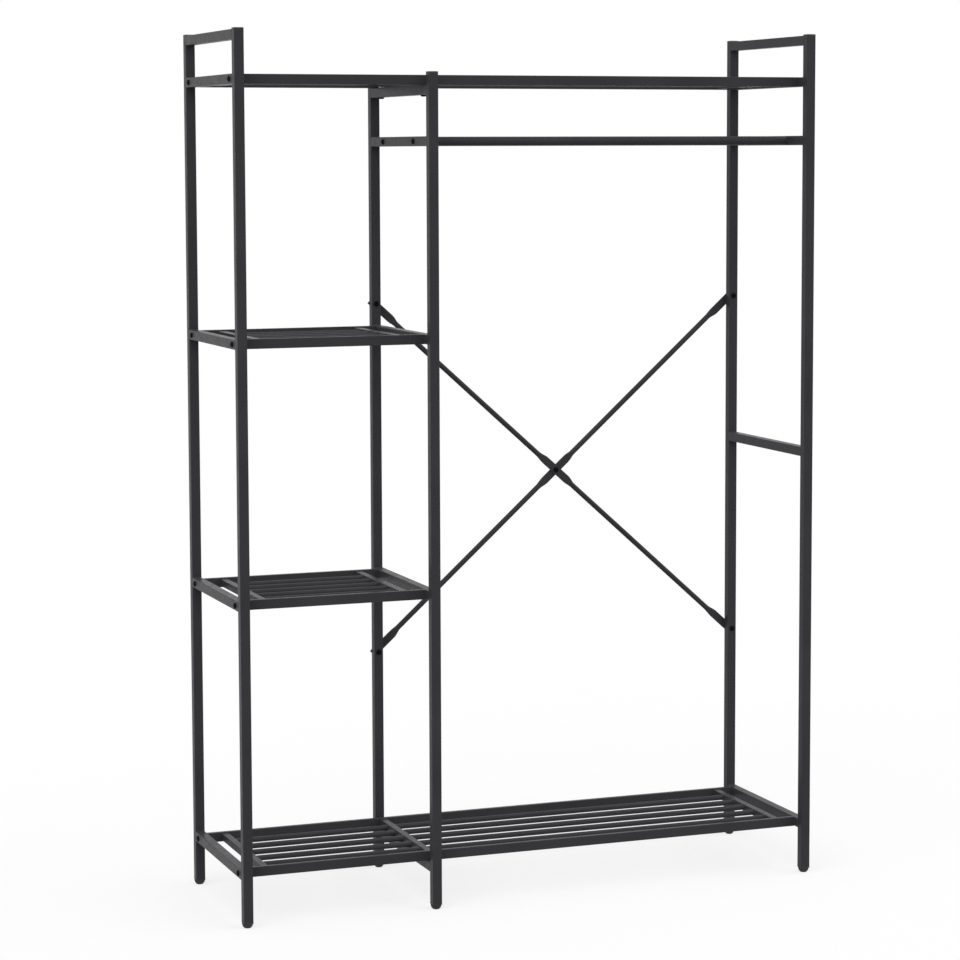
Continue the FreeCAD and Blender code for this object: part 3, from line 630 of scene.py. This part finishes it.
# Finishes
def new_material(name):
    """A material with its shader and output, and the object's own coordinates."""
    material = bpy.data.materials.new(name)
    material.use_nodes = True
    tree = material.node_tree
    tree.nodes.clear()
    shader = add_node(tree, "ShaderNodeBsdfPrincipled")
    output = add_node(tree, "ShaderNodeOutputMaterial")
    wire(tree, (shader, "BSDF", output, "Surface"))
    coordinates = add_node(tree, "ShaderNodeTexCoord")
    return material, tree, shader, coordinates


def noise_field(tree, coordinates, scale, detail):
    """A noise pattern in the object's coordinates."""
    noise = add_node(tree, "ShaderNodeTexNoise")
    noise.inputs["Scale"].default_value = scale
    noise.inputs["Detail"].default_value = detail
    wire(tree, (coordinates, "Object", noise, "Vector"))
    return noise


def spread_value(tree, source, output, low, high, span=NOISE_SPAN):
    """Map a pattern to a range of values."""
    mapped = add_node(tree, "ShaderNodeMapRange")
    mapped.inputs["From Min"].default_value = span[0]
    mapped.inputs["From Max"].default_value = span[1]
    mapped.inputs["To Min"].default_value = low
    mapped.inputs["To Max"].default_value = high
    wire(tree, (source, output, mapped, "Value"))
    return mapped


def shade(colour, factor):
    """A colour made lighter or darker, with its alpha."""
    return (*[min(1.0, part * factor) for part in colour], 1.0)


def shade_blend(tree, pattern, colour, first, second):
    """Blend two shades of a colour by a pattern, each given as a factor of the colour."""
    blend = add_node(tree, "ShaderNodeMix", data_type="RGBA")
    blend.inputs["A"].default_value = shade(colour, first)
    blend.inputs["B"].default_value = shade(colour, second)
    wire(tree, (pattern, 0, blend, "Factor"))
    return blend


def edge_pattern(tree, radius):
    """A pattern that is 1 along worn edges and 0 on flat faces."""
    rounded = add_node(tree, "ShaderNodeBevel", samples=EDGE_SAMPLES)
    rounded.inputs["Radius"].default_value = radius
    geometry = add_node(tree, "ShaderNodeNewGeometry")
    facing = add_node(tree, "ShaderNodeVectorMath", operation="DOT_PRODUCT")
    wire(tree, (rounded, "Normal", facing, 0), (geometry, "Normal", facing, 1))
    return spread_value(tree, facing, "Value", 1.0, 0.0, EDGE_SPAN)


def set_surface(tree, shader, body, gloss, relief, roughness, strength, height):
    """Join a colour blend, a pattern of gloss and a pattern of relief to a shader."""
    bump = add_node(tree, "ShaderNodeBump")
    bump.inputs["Strength"].default_value = strength
    bump.inputs["Distance"].default_value = height
    wire(
        tree,
        (body, "Result", shader, "Base Color"),
        (spread_value(tree, gloss, 0, *roughness), 0, shader, "Roughness"),
        (relief, 0, bump, "Height"),
        (bump, "Normal", shader, "Normal"),
    )


def powder_coat(colour):
    """Satin black powder coat: fine orange peel, slight clouding, thinner at the edges."""
    material, tree, shader, coordinates = new_material("powder_coat")
    peel = noise_field(tree, coordinates, scale=650.0, detail=2.0)
    cloud = noise_field(tree, coordinates, scale=9.0, detail=3.0)
    sheen = noise_field(tree, coordinates, scale=70.0, detail=2.0)
    edges = edge_pattern(tree, radius=0.0012)
    body = shade_blend(tree, cloud, colour, first=0.8, second=1.2)
    worn = shade_blend(tree, edges, colour, first=1.0, second=2.2)
    wire(tree, (body, "Result", worn, "A"))
    shader.inputs["IOR"].default_value = COAT_IOR
    set_surface(tree, shader, worn, sheen, peel, roughness=(0.3, 0.4), strength=0.12, height=0.0002)
    return material


def black_oxide(colour):
    """Blackened bolt steel: dark, low in sheen, rubbed lighter at the edges."""
    material, tree, shader, coordinates = new_material("black_oxide")
    grain = noise_field(tree, coordinates, scale=1800.0, detail=3.0)
    edges = edge_pattern(tree, radius=0.0005)
    body = shade_blend(tree, edges, colour, first=1.0, second=4.0)
    shader.inputs["IOR"].default_value = OXIDE_IOR
    set_surface(tree, shader, body, grain, grain, roughness=(0.3, 0.45), strength=0.1, height=0.0001)
    return material


def moulded_plastic(name, colour, roughness):
    """Black moulded plastic with a fine spark-eroded grain."""
    material, tree, shader, coordinates = new_material(name)
    grain = noise_field(tree, coordinates, scale=2200.0, detail=4.0)
    cloud = noise_field(tree, coordinates, scale=60.0, detail=2.0)
    body = shade_blend(tree, cloud, colour, first=0.8, second=1.25)
    gloss = (roughness - GRAIN_GLOSS, roughness + GRAIN_GLOSS)
    set_surface(tree, shader, body, grain, grain, roughness=gloss, strength=0.2, height=0.0001)
    return material


def zinc_steel(colour):
    """Zinc-plated steel with faint turning lines."""
    material, tree, shader, coordinates = new_material("zinc_steel")
    lines = add_node(tree, "ShaderNodeTexWave", wave_type="BANDS", bands_direction="X")
    lines.inputs["Scale"].default_value = 700.0
    lines.inputs["Distortion"].default_value = 1.5
    wire(tree, (coordinates, "Object", lines, "Vector"))
    body = shade_blend(tree, lines, colour, first=0.85, second=1.1)
    shader.inputs["Metallic"].default_value = 1.0
    set_surface(tree, shader, body, lines, lines, roughness=(0.3, 0.45), strength=0.08, height=0.0001)
    return material


def finish(name):
    """A finish by name, made when it is first asked for."""
    ready = bpy.data.materials.get(name)
    if ready:
        return ready
    colours = bpy.context.scene.wardrobe_finish
    makers = {
        "powder_coat": lambda: powder_coat(colours.coat_colour),
        "black_oxide": lambda: black_oxide(colours.bolt_colour),
        "cap_plastic": lambda: moulded_plastic(name, colours.plastic_colour, roughness=0.42),
        "foot_plastic": lambda: moulded_plastic(name, colours.plastic_colour, roughness=0.5),
        "zinc_steel": lambda: zinc_steel(colours.steel_colour),
    }
    return makers[name]()


# Operators, one for each piece or group of like pieces
class WARDROBE_OT_posts(bpy.types.Operator):
    """Round and coat the six posts"""

    bl_idname = "wardrobe.posts"
    bl_label = "Posts"

    def execute(self, context):
        for place in POST_PLACES:
            add_tube(place + "_post", "Z", context.scene.wardrobe_tubes.frame_corner)
        return {"FINISHED"}


class WARDROBE_OT_rails(bpy.types.Operator):
    """Round and coat the rails of the three side frames"""

    bl_idname = "wardrobe.rails"
    bl_label = "Frame rails"

    def execute(self, context):
        for node in SIDE_RAILS:
            add_tube(node, "Y", context.scene.wardrobe_tubes.frame_corner)
        return {"FINISHED"}


def cross_bar_boxes(shelf):
    """Boxes of a shelf's cross bars, from left to right."""
    low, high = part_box(shelf + "_shelf_cross_bars")
    half = (high.z - low.z) / 2
    centres = [low.x + half, high.x - half]
    if shelf in LONG_SHELVES:
        centres.insert(1, MIDDLE_X)
    return [(Vector((x - half, low.y, low.z)), Vector((x + half, high.y, high.z))) for x in centres]


class WARDROBE_OT_shelf_frames(bpy.types.Operator):
    """Round and coat the rails and cross bars of the shelves"""

    bl_idname = "wardrobe.shelf_frames"
    bl_label = "Shelf rails and cross bars"

    def execute(self, context):
        corner = context.scene.wardrobe_tubes.shelf_corner
        for shelf in SHELVES:
            for row in ROWS:
                add_tube("%s_shelf_%s_rail" % (shelf, row), "X", corner)
            node = shelf + "_shelf_cross_bars"
            bm = bmesh.new()
            for low, high in cross_bar_boxes(shelf):
                rounded_tube(bm, low, high, "Y", corner)
            add_coated(node + "_tubes", finish_mesh(bm, node + "_tubes"), node)
        return {"FINISHED"}


def slat_layout(shelf):
    """Runs of a shelf's slats as (left, right), with their places in depth, height and diameter."""
    bars = cross_bar_boxes(shelf)
    runs = [(left[1].x, right[0].x) for left, right in zip(bars, bars[1:])]
    low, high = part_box(shelf + "_shelf_slats")
    diameter = high.z - low.z
    first, last = low.y + diameter / 2, high.y - diameter / 2
    pitch = (last - first) / (SLATS_PER_RUN - 1)
    depths = [first + pitch * number for number in range(SLATS_PER_RUN)]
    return runs, depths, (low.z + high.z) / 2, diameter


class WARDROBE_OT_slats(bpy.types.Operator):
    """Lay the round slats of the four shelves"""

    bl_idname = "wardrobe.slats"
    bl_label = "Shelf slats"

    def execute(self, context):
        tree = slat_tree()
        for shelf in SHELVES:
            node = shelf + "_shelf_slats"
            runs, depths, height, diameter = slat_layout(shelf)
            bm = bmesh.new()
            for left, right in runs:
                values = {
                    "Start": (left, depths[0], height),
                    "Length": right - left,
                    "Radius": diameter / 2,
                    "Pitch": depths[1] - depths[0],
                    "Count": len(depths),
                    "Sides": context.scene.wardrobe_tubes.slat_sides,
                    "Material": finish("powder_coat"),
                }
                seed_mesh = bpy.data.meshes.new(node + "_seed")
                bm.from_mesh(run_tree(tree, node + "_run", seed_mesh, values))
            add_coated(node + "_rods", finish_mesh(bm, node + "_rods"), node)
        return {"FINISHED"}


class WARDROBE_OT_rods(bpy.types.Operator):
    """Hang the two clothes rods"""

    bl_idname = "wardrobe.rods"
    bl_label = "Hanging rods"

    def execute(self, context):
        sides = context.scene.wardrobe_tubes.rod_sides
        for row in ROWS:
            node = row + "_hanging_rod"
            low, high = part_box(node)
            radius = (high.z - low.z) / 2
            centre = ((low.y + high.y) / 2, (low.z + high.z) / 2)
            left_end = [(low.x, radius - ROD_EDGE), (low.x + ROD_EDGE, radius)]
            right_end = [(high.x - ROD_EDGE, radius), (high.x, radius - ROD_EDGE)]
            stations = left_end + right_end
            rings = [stand_ring(circle_ring(size, sides), "X", x, centre) for x, size in stations]
            add_coated(node + "_tube", lofted_mesh(node + "_tube", rings), node)
        return {"FINISHED"}


def taper_stations(start, end, first, second):
    """Sections along a smooth change from one to another, each with its distance along in front."""
    stations = []
    for step in range(TAPER_STEPS + 1):
        part = step / TAPER_STEPS
        ease = part * part * (3 - 2 * part)
        section = [a + (b - a) * ease for a, b in zip(first, second)]
        stations.append((start + (end - start) * part, *section))
    return stations


def brace_stations(sizes, half, centre_depth):
    """Sections along one half of a brace as (along, half thickness, half width, power, depth)."""
    flat, width, radius = sizes.tab_thickness / 2, sizes.tab_width / 2, sizes.bar_radius
    centre = (flat, width, TAB_POWER, centre_depth)
    bar = (radius, radius, ROUND_POWER, radius)
    tab = (flat, width, TAB_POWER, flat)
    centre_end = sizes.centre_flat / 2
    tab_start, tab_end = half - sizes.tab_inner, half + sizes.tab_end
    stations = taper_stations(centre_end, centre_end + sizes.taper, centre, bar)
    stations += taper_stations(tab_start - sizes.taper, tab_start, bar, tab)
    stations += [(tab_end - back, flat - inset, width - inset, TAB_POWER, flat) for back, inset in END_TRIM]
    return stations


class WARDROBE_OT_braces(bpy.types.Operator):
    """Cross the two flattened round bars behind the hanging bay"""

    bl_idname = "wardrobe.braces"
    bl_label = "Back brace"

    def execute(self, context):
        sizes = context.scene.wardrobe_brace
        head = context.scene.wardrobe_fasteners.head_radius
        low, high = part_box("brace_bolts")
        span = high.x - low.x - 2 * head
        rise = high.z - low.z - 2 * head
        half = math.hypot(span, rise) / 2
        slope = math.atan2(rise, span)
        back_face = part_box("middle_back_post")[1].y
        place = Matrix.Translation(((low.x + high.x) / 2, back_face, (low.z + high.z) / 2))
        layers = (("falling_brace", slope), ("rising_brace", -slope))
        for layer, (node, turn) in enumerate(layers):
            layer_middle = (2 * layer + 1) * sizes.tab_thickness / 2
            stations = brace_stations(sizes, half, layer_middle)
            mirrored = [(-station[0], *station[1:]) for station in reversed(stations)]
            rings = []
            for along, thickness, width, power, depth in mirrored + stations:
                section = squared_ring(thickness, width, power, BRACE_SIDES)
                rings.append(stand_ring(section, "X", along, (depth, 0.0)))
            mesh = lofted_mesh(node + "_bar", rings, BAR_SHARP)
            mesh.transform(place @ Matrix.Rotation(turn, 4, "Y"))
            add_coated(node + "_bar", mesh, node)
        return {"FINISHED"}


def bolt_mesh(sizes, length):
    """A button-headed socket bolt: head above Z 0, shank below."""
    shank, head, top = sizes.shank_radius, sizes.head_radius, sizes.head_height
    rim, flat = HEAD_RIM * top, HEAD_FLAT * head
    outline = [(POINT_RADIUS * shank, -length), (shank, POINT_LENGTH * shank - length)]
    outline += [(shank, 0.0), (head, 0.0)]
    for step in range(DOME_STEPS + 1):
        angle = QUARTER_TURN * step / DOME_STEPS
        outline.append((flat + (head - flat) * math.cos(angle), rim + (top - rim) * math.sin(angle)))
    outline.append((SOCKET_LIP * sizes.socket_width, top))
    socket = hexagon_ring(sizes.socket_width, FASTENER_SIDES)
    rings = turned_rings(outline, FASTENER_SIDES)
    rings += [stand_ring(socket, "Z", top - depth) for depth in (SOCKET_EDGE, sizes.socket_depth)]
    return lofted_mesh("bolt", rings)


def nut_mesh(sizes):
    """A chamfered hexagon nut, standing on Z 0."""
    width, height, bore = sizes.nut_width, sizes.nut_height, NUT_BORE * sizes.shank_radius
    chamfer = NUT_CHAMFER * height
    hexagon = hexagon_ring(width, FASTENER_SIDES)
    top_outline = [(NUT_TOP * width, height), (bore + chamfer, height), (bore, height - chamfer)]
    rings = turned_rings([(bore, 0.0)], FASTENER_SIDES)
    rings += [stand_ring(hexagon, "Z", z) for z in (0.0, height - chamfer)]
    rings += turned_rings(top_outline, FASTENER_SIDES)
    return lofted_mesh("nut", rings, round_trip=True)


class WARDROBE_OT_frame_bolts(bpy.types.Operator):
    """Drive the bolts that hold shelves and rods to the side frames"""

    bl_idname = "wardrobe.frame_bolts"
    bl_label = "Frame bolts"

    def execute(self, context):
        sizes = context.scene.wardrobe_fasteners
        left_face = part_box("left_front_post")[0].x
        right_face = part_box("right_front_post")[1].x
        middle_low, middle_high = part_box("middle_front_post")
        spots = []
        for shelf in SHELVES:
            far_face = right_face if shelf in LONG_SHELVES else middle_high.x
            for row in ROWS:
                rail = middle_of("%s_shelf_%s_rail" % (shelf, row))
                spots.append(spot(left_face, rail.y, rail.z, LEFTWARD))
                spots.append(spot(far_face, rail.y, rail.z, RIGHTWARD))
        for row in ROWS:
            rod = middle_of(row + "_hanging_rod")
            spots.append(spot(middle_low.x, rod.y, rod.z, LEFTWARD))
            spots.append(spot(right_face, rod.y, rod.z, RIGHTWARD))
        nuts_low, nuts_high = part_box("middle_rivet_nuts")
        for rail in ("middle_top_cross_rail", "middle_bottom_cross_rail"):
            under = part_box(rail)[0].z
            for y in (nuts_low.y + sizes.flange_radius, nuts_high.y - sizes.flange_radius):
                spots.append(spot(MIDDLE_X, y, under, DOWNWARD))
        master = bolt_mesh(sizes, sizes.frame_bolt_length)
        add_fasteners("frame_bolt_set", master, spots, "frame_bolts", FULL_TURN, FRAME_BOLT_SEED)
        return {"FINISHED"}


class WARDROBE_OT_brace_fasteners(bpy.types.Operator):
    """Bolt the brace to the back posts and at its crossing"""

    bl_idname = "wardrobe.brace_fasteners"
    bl_label = "Brace bolts and nuts"

    def execute(self, context):
        sizes = context.scene.wardrobe_fasteners
        tab = context.scene.wardrobe_brace.tab_thickness
        head = sizes.head_radius
        post_low, post_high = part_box("middle_back_post")
        low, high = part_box("brace_bolts")
        corners = [(x, z) for x in (low.x + head, high.x - head) for z in (low.z + head, high.z - head)]
        spots = [spot(x, post_low.y, z, FORWARD) for x, z in corners]
        master = bolt_mesh(sizes, high.y - post_low.y)
        add_fasteners("brace_bolt_set", master, spots, "brace_bolts", FULL_TURN, BRACE_BOLT_SEED)

        centre = middle_of("brace_centre_bolt")
        centre_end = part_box("brace_centre_bolt")[1].y
        spots = [spot(centre.x, post_high.y, centre.z, FORWARD)]
        master = bolt_mesh(sizes, centre_end - post_high.y)
        add_fasteners("brace_crossing_bolt", master, spots, "brace_centre_bolt")

        spots = [spot(x, post_high.y + tab, z, BACKWARD) for x, z in corners]
        spots.append(spot(centre.x, post_high.y + 2 * tab, centre.z, BACKWARD))
        master = nut_mesh(sizes)
        add_fasteners("brace_nut_set", master, spots, "brace_nuts", FULL_TURN / 2, BRACE_NUT_SEED)
        return {"FINISHED"}


class WARDROBE_OT_caps(bpy.types.Operator):
    """Press the plastic caps into the post tops"""

    bl_idname = "wardrobe.caps"
    bl_label = "Post caps"

    def execute(self, context):
        sizes = context.scene.wardrobe_ends
        corner = context.scene.wardrobe_tubes.frame_corner
        post_low, post_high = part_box("left_front_post")
        half = (post_high.x - post_low.x) / 2
        leg, plate = half - sizes.tube_wall, sizes.cap_plate
        leg_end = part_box("post_caps")[0].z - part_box("middle_front_post")[1].z
        sections = [(leg - LEG_LEAD, leg_end), (leg, leg_end + LEG_LEAD_LENGTH), (leg, 0.0), (half, 0.0)]
        sections += [(half - inset * plate, height * plate) for inset, height in CAP_EDGE]
        rings = [stand_ring(ring_points(size, size, corner), "Z", z) for size, z in sections]
        spots = []
        for place in POST_PLACES:
            middle = middle_of(place + "_post")
            spots.append(spot(middle.x, middle.y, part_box(place + "_post")[1].z, UPWARD))
        master = lofted_mesh("cap", rings)
        add_set("post_cap_set", master, spots, "cap_plastic", "cap_plastic", ["post_caps"])
        return {"FINISHED"}


def foot_profile(sizes, radius, top):
    """Half outline of a foot as (radius, height), from the floor up to the end of its stud."""
    flat, height = sizes.foot_flat_radius, sizes.foot_height
    stud, pitch = sizes.stud_radius, sizes.thread_pitch
    dome = (height**2 + (radius - flat) ** 2) / (2 * (radius - flat))
    start = math.asin(height / dome)
    outline = []
    for step in range(FOOT_STEPS):
        angle = start * (1 - step / FOOT_STEPS)
        outline.append((radius - dome + dome * math.cos(angle), height - dome * math.sin(angle)))
    outline += [(radius, height - FOOT_EDGE), (radius - FOOT_EDGE, height), (stud, height)]
    root = stud - THREAD_DEPTH * pitch
    threads = int((top - height) / pitch) - 1
    for number in range(threads):
        base = height + pitch * (number + THREAD_START)
        outline += [(root, base), (stud, base + pitch / 2)]
    outline += [(root, top - pitch / 2), (POINT_RADIUS * root, top)]
    return outline


class WARDROBE_OT_feet(bpy.types.Operator):
    """Turn the six levelling feet, each on its own screw"""

    bl_idname = "wardrobe.feet"
    bl_label = "Levelling feet"

    def execute(self, context):
        for place in POST_PLACES:
            node = place + "_foot"
            low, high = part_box(node)
            centre = ((low.x + high.x) / 2, (low.y + high.y) / 2)
            outline = foot_profile(context.scene.wardrobe_ends, (high.x - low.x) / 2, high.z)
            name = node + "_turned"
            mesh = lofted_mesh(name, turned_rings(outline, FOOT_SIDES, centre), BAR_SHARP)
            add_piece(name, mesh, finish("foot_plastic"), [node], node + "_body")
        return {"FINISHED"}


class WARDROBE_OT_inserts(bpy.types.Operator):
    """Finish the plugs, rivet nuts and inserts inside the tubes"""

    bl_idname = "wardrobe.inserts"
    bl_label = "Plugs and inserts"

    def execute(self, context):
        for node, look in INNER_FINISHES.items():
            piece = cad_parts[node]
            piece.data.materials.clear()
            piece.data.materials.append(finish(look))
        return {"FINISHED"}


def strip_bead(radius):
    """A short straight bead along Z, one unit long."""
    upper_half = [(radius * size, along) for along, size in STRIP_HALF]
    lower_half = [(size, -along) for size, along in reversed(upper_half)]
    return lofted_mesh("strip_bead", turned_rings(lower_half + upper_half, BEAD_SIDES))


def strip_spots(low, high, heights):
    """Spots for beads across the ends of a bar, front and back, at the given heights."""
    stretch = Vector((1, 1, BEAD_SHARE * (high.x - low.x)))
    middle = (low.x + high.x) / 2
    return [spot(middle, y, z, RIGHTWARD, stretch) for y in (low.y, high.y) for z in heights]


def ring_bead(ring_radius, bead_radius):
    """A bead round the end of a slat, about Z."""
    section = circle_ring(bead_radius, BEAD_SIDES)
    rings = []
    for turn in range(RING_STEPS):
        outward = polar(1.0, FULL_TURN * turn / RING_STEPS).to_3d()
        rings.append([outward * (ring_radius + point.x) + UPWARD * point.y for point in section])
    return lofted_mesh("ring_bead", rings, round_trip=True)


class WARDROBE_OT_welds(bpy.types.Operator):
    """Run the weld beads of the frames and shelves"""

    bl_idname = "wardrobe.welds"
    bl_label = "Weld beads"

    def execute(self, context):
        sizes = context.scene.wardrobe_welds
        rail_spots, bar_spots, slat_spots = [], [], []
        for node in SIDE_RAILS:
            low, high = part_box(node)
            heights = [low.z] if node in FLUSH_TOP_RAILS else [low.z, high.z]
            rail_spots += strip_spots(low, high, heights)
        for shelf in SHELVES:
            for low, high in cross_bar_boxes(shelf):
                bar_spots += strip_spots(low, high, [low.z, high.z])
            runs, depths, height, diameter = slat_layout(shelf)
            for x in [end for run in runs for end in run]:
                slat_spots += [spot(x, y, height, RIGHTWARD) for y in depths]
        beads = (
            ("frame_welds", strip_bead(sizes.rail_bead), rail_spots),
            ("cross_bar_welds", strip_bead(sizes.slat_bead), bar_spots),
            ("slat_welds", ring_bead(diameter / 2, sizes.slat_bead), slat_spots),
        )
        for name, master, spots in beads:
            add_set(name, master, spots, "powder_coat", "frame_coat", [], ripple=sizes.ripple)
        return {"FINISHED"}


def white_for_views(tree):
    """A value that is 1 for what the camera, gloss and glass see, and 0 for light on the object."""
    path = add_node(tree, "ShaderNodeLightPath")
    first = add_node(tree, "ShaderNodeMath", operation="MAXIMUM")
    second = add_node(tree, "ShaderNodeMath", operation="MAXIMUM")
    wire(
        tree,
        (path, "Is Camera Ray", first, 0),
        (path, "Is Glossy Ray", first, 1),
        (first, 0, second, 0),
        (path, "Is Transmission Ray", second, 1),
    )
    return second


def make_floor(settings):
    """A wide pale floor, lifted to white where the camera sees it unshaded."""
    mesh = bpy.data.meshes.new("floor")
    signs = ((-1, -1), (1, -1), (1, 1), (-1, 1))
    mesh.from_pydata([(FLOOR_REACH * a, FLOOR_REACH * b, 0) for a, b in signs], [], [(0, 1, 2, 3)])
    material = bpy.data.materials.new("pale_floor")
    material.use_nodes = True
    tree = material.node_tree
    tree.nodes.clear()
    matte = add_node(tree, "ShaderNodeBsdfDiffuse")
    matte.inputs["Color"].default_value = (*[settings.floor_shade] * 3, 1.0)
    glow = add_node(tree, "ShaderNodeEmission")
    lift = add_node(tree, "ShaderNodeMath", operation="MULTIPLY")
    lift.inputs[1].default_value = 1.0 - settings.floor_shade
    both = add_node(tree, "ShaderNodeAddShader")
    output = add_node(tree, "ShaderNodeOutputMaterial")
    wire(
        tree,
        (white_for_views(tree), 0, lift, 0),
        (lift, 0, glow, "Strength"),
        (matte, 0, both, 0),
        (glow, 0, both, 1),
        (both, 0, output, "Surface"),
    )
    mesh.materials.append(material)
    floor = link_object("floor", mesh)


def make_light(scene, settings):
    """A white room and two broad lights."""
    world = bpy.data.worlds.new("studio")
    scene.world = world
    world.use_nodes = True
    tree = world.node_tree
    tree.nodes.clear()
    sky = add_node(tree, "ShaderNodeBackground")
    sky.inputs["Color"].default_value = (1.0, 1.0, 1.0, 1.0)
    output = add_node(tree, "ShaderNodeOutputWorld")
    strength = spread_value(tree, white_for_views(tree), 0, settings.room_light, 1.0, FULL_SPAN)
    wire(tree, (strength, 0, sky, "Strength"), (sky, 0, output, "Surface"))
    lamps = (
        ("key_light", KEY_DIRECTION, settings.key_light),
        ("fill_light", FILL_DIRECTION, settings.fill_light),
    )
    for name, direction, power in lamps:
        light = bpy.data.lights.new(name, "SUN")
        light.angle = settings.light_angle
        light.energy = power
        lamp = link_object(name, light)
        lamp.rotation_euler = Vector(direction).to_track_quat("Z", "Y").to_euler()


def make_camera(scene, settings):
    """A camera at the photograph's viewing angle."""
    camera = link_object("camera", bpy.data.cameras.new("camera"))
    pitch, roll, heading = settings.camera_turn
    turn = Matrix.Rotation(heading, 4, "Z") @ Matrix.Rotation(QUARTER_TURN + pitch, 4, "X")
    camera.matrix_world = Matrix.Translation(settings.camera_place) @ turn @ Matrix.Rotation(roll, 4, "Z")
    camera.data.sensor_width = SENSOR_WIDTH
    camera.data.lens = settings.lens
    camera.data.shift_y = settings.shift
    camera.data.clip_end = FARTHEST_VIEW
    scene.camera = camera


class WARDROBE_OT_stage(bpy.types.Operator):
    """Set the floor, the light and the camera"""

    bl_idname = "wardrobe.stage"
    bl_label = "Stage"

    def execute(self, context):
        settings = context.scene.wardrobe_stage
        make_floor(settings)
        make_light(context.scene, settings)
        make_camera(context.scene, settings)
        context.scene.view_settings.view_transform = "Standard"
        return {"FINISHED"}


PIECE_OPERATORS = (
    WARDROBE_OT_posts,
    WARDROBE_OT_rails,
    WARDROBE_OT_shelf_frames,
    WARDROBE_OT_slats,
    WARDROBE_OT_rods,
    WARDROBE_OT_braces,
    WARDROBE_OT_frame_bolts,
    WARDROBE_OT_brace_fasteners,
    WARDROBE_OT_caps,
    WARDROBE_OT_feet,
    WARDROBE_OT_inserts,
    WARDROBE_OT_welds,
    WARDROBE_OT_stage,
)


class VIEW3D_PT_wardrobe(bpy.types.Panel):
    """The steps that dress the wardrobe"""

    bl_label = "Open frame wardrobe"
    bl_idname = "VIEW3D_PT_wardrobe"
    bl_space_type = "VIEW_3D"
    bl_region_type = "UI"
    bl_category = "Wardrobe"

    def draw(self, context):
        for operator in PIECE_OPERATORS:
            self.layout.operator(operator.bl_idname)


SETTINGS = {
    "wardrobe_tubes": TubeSizes,
    "wardrobe_brace": BraceSizes,
    "wardrobe_fasteners": FastenerSizes,
    "wardrobe_ends": EndSizes,
    "wardrobe_welds": WeldSizes,
    "wardrobe_finish": CoatFinish,
    "wardrobe_stage": StageSettings,
}


def register():
    """Register the settings, the operators and the panel."""
    for group in SETTINGS.values():
        bpy.utils.register_class(group)
    for name, group in SETTINGS.items():
        setattr(bpy.types.Scene, name, PointerProperty(type=group))
    for operator in PIECE_OPERATORS:
        bpy.utils.register_class(operator)
    bpy.utils.register_class(VIEW3D_PT_wardrobe)


def unregister():
    """Take away what register added, in the opposite order."""
    bpy.utils.unregister_class(VIEW3D_PT_wardrobe)
    for operator in reversed(PIECE_OPERATORS):
        bpy.utils.unregister_class(operator)
    for name in SETTINGS:
        delattr(bpy.types.Scene, name)
    for group in reversed(list(SETTINGS.values())):
        bpy.utils.unregister_class(group)


def main():
    """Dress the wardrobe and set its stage."""
    register()
    bpy.ops.wardrobe.posts()
    bpy.ops.wardrobe.rails()
    bpy.ops.wardrobe.shelf_frames()
    bpy.ops.wardrobe.slats()
    bpy.ops.wardrobe.rods()
    bpy.ops.wardrobe.braces()
    bpy.ops.wardrobe.frame_bolts()
    bpy.ops.wardrobe.brace_fasteners()
    bpy.ops.wardrobe.caps()
    bpy.ops.wardrobe.feet()
    bpy.ops.wardrobe.inserts()
    bpy.ops.wardrobe.welds()
    bpy.ops.wardrobe.stage()


if __name__ == "__main__":
    main()
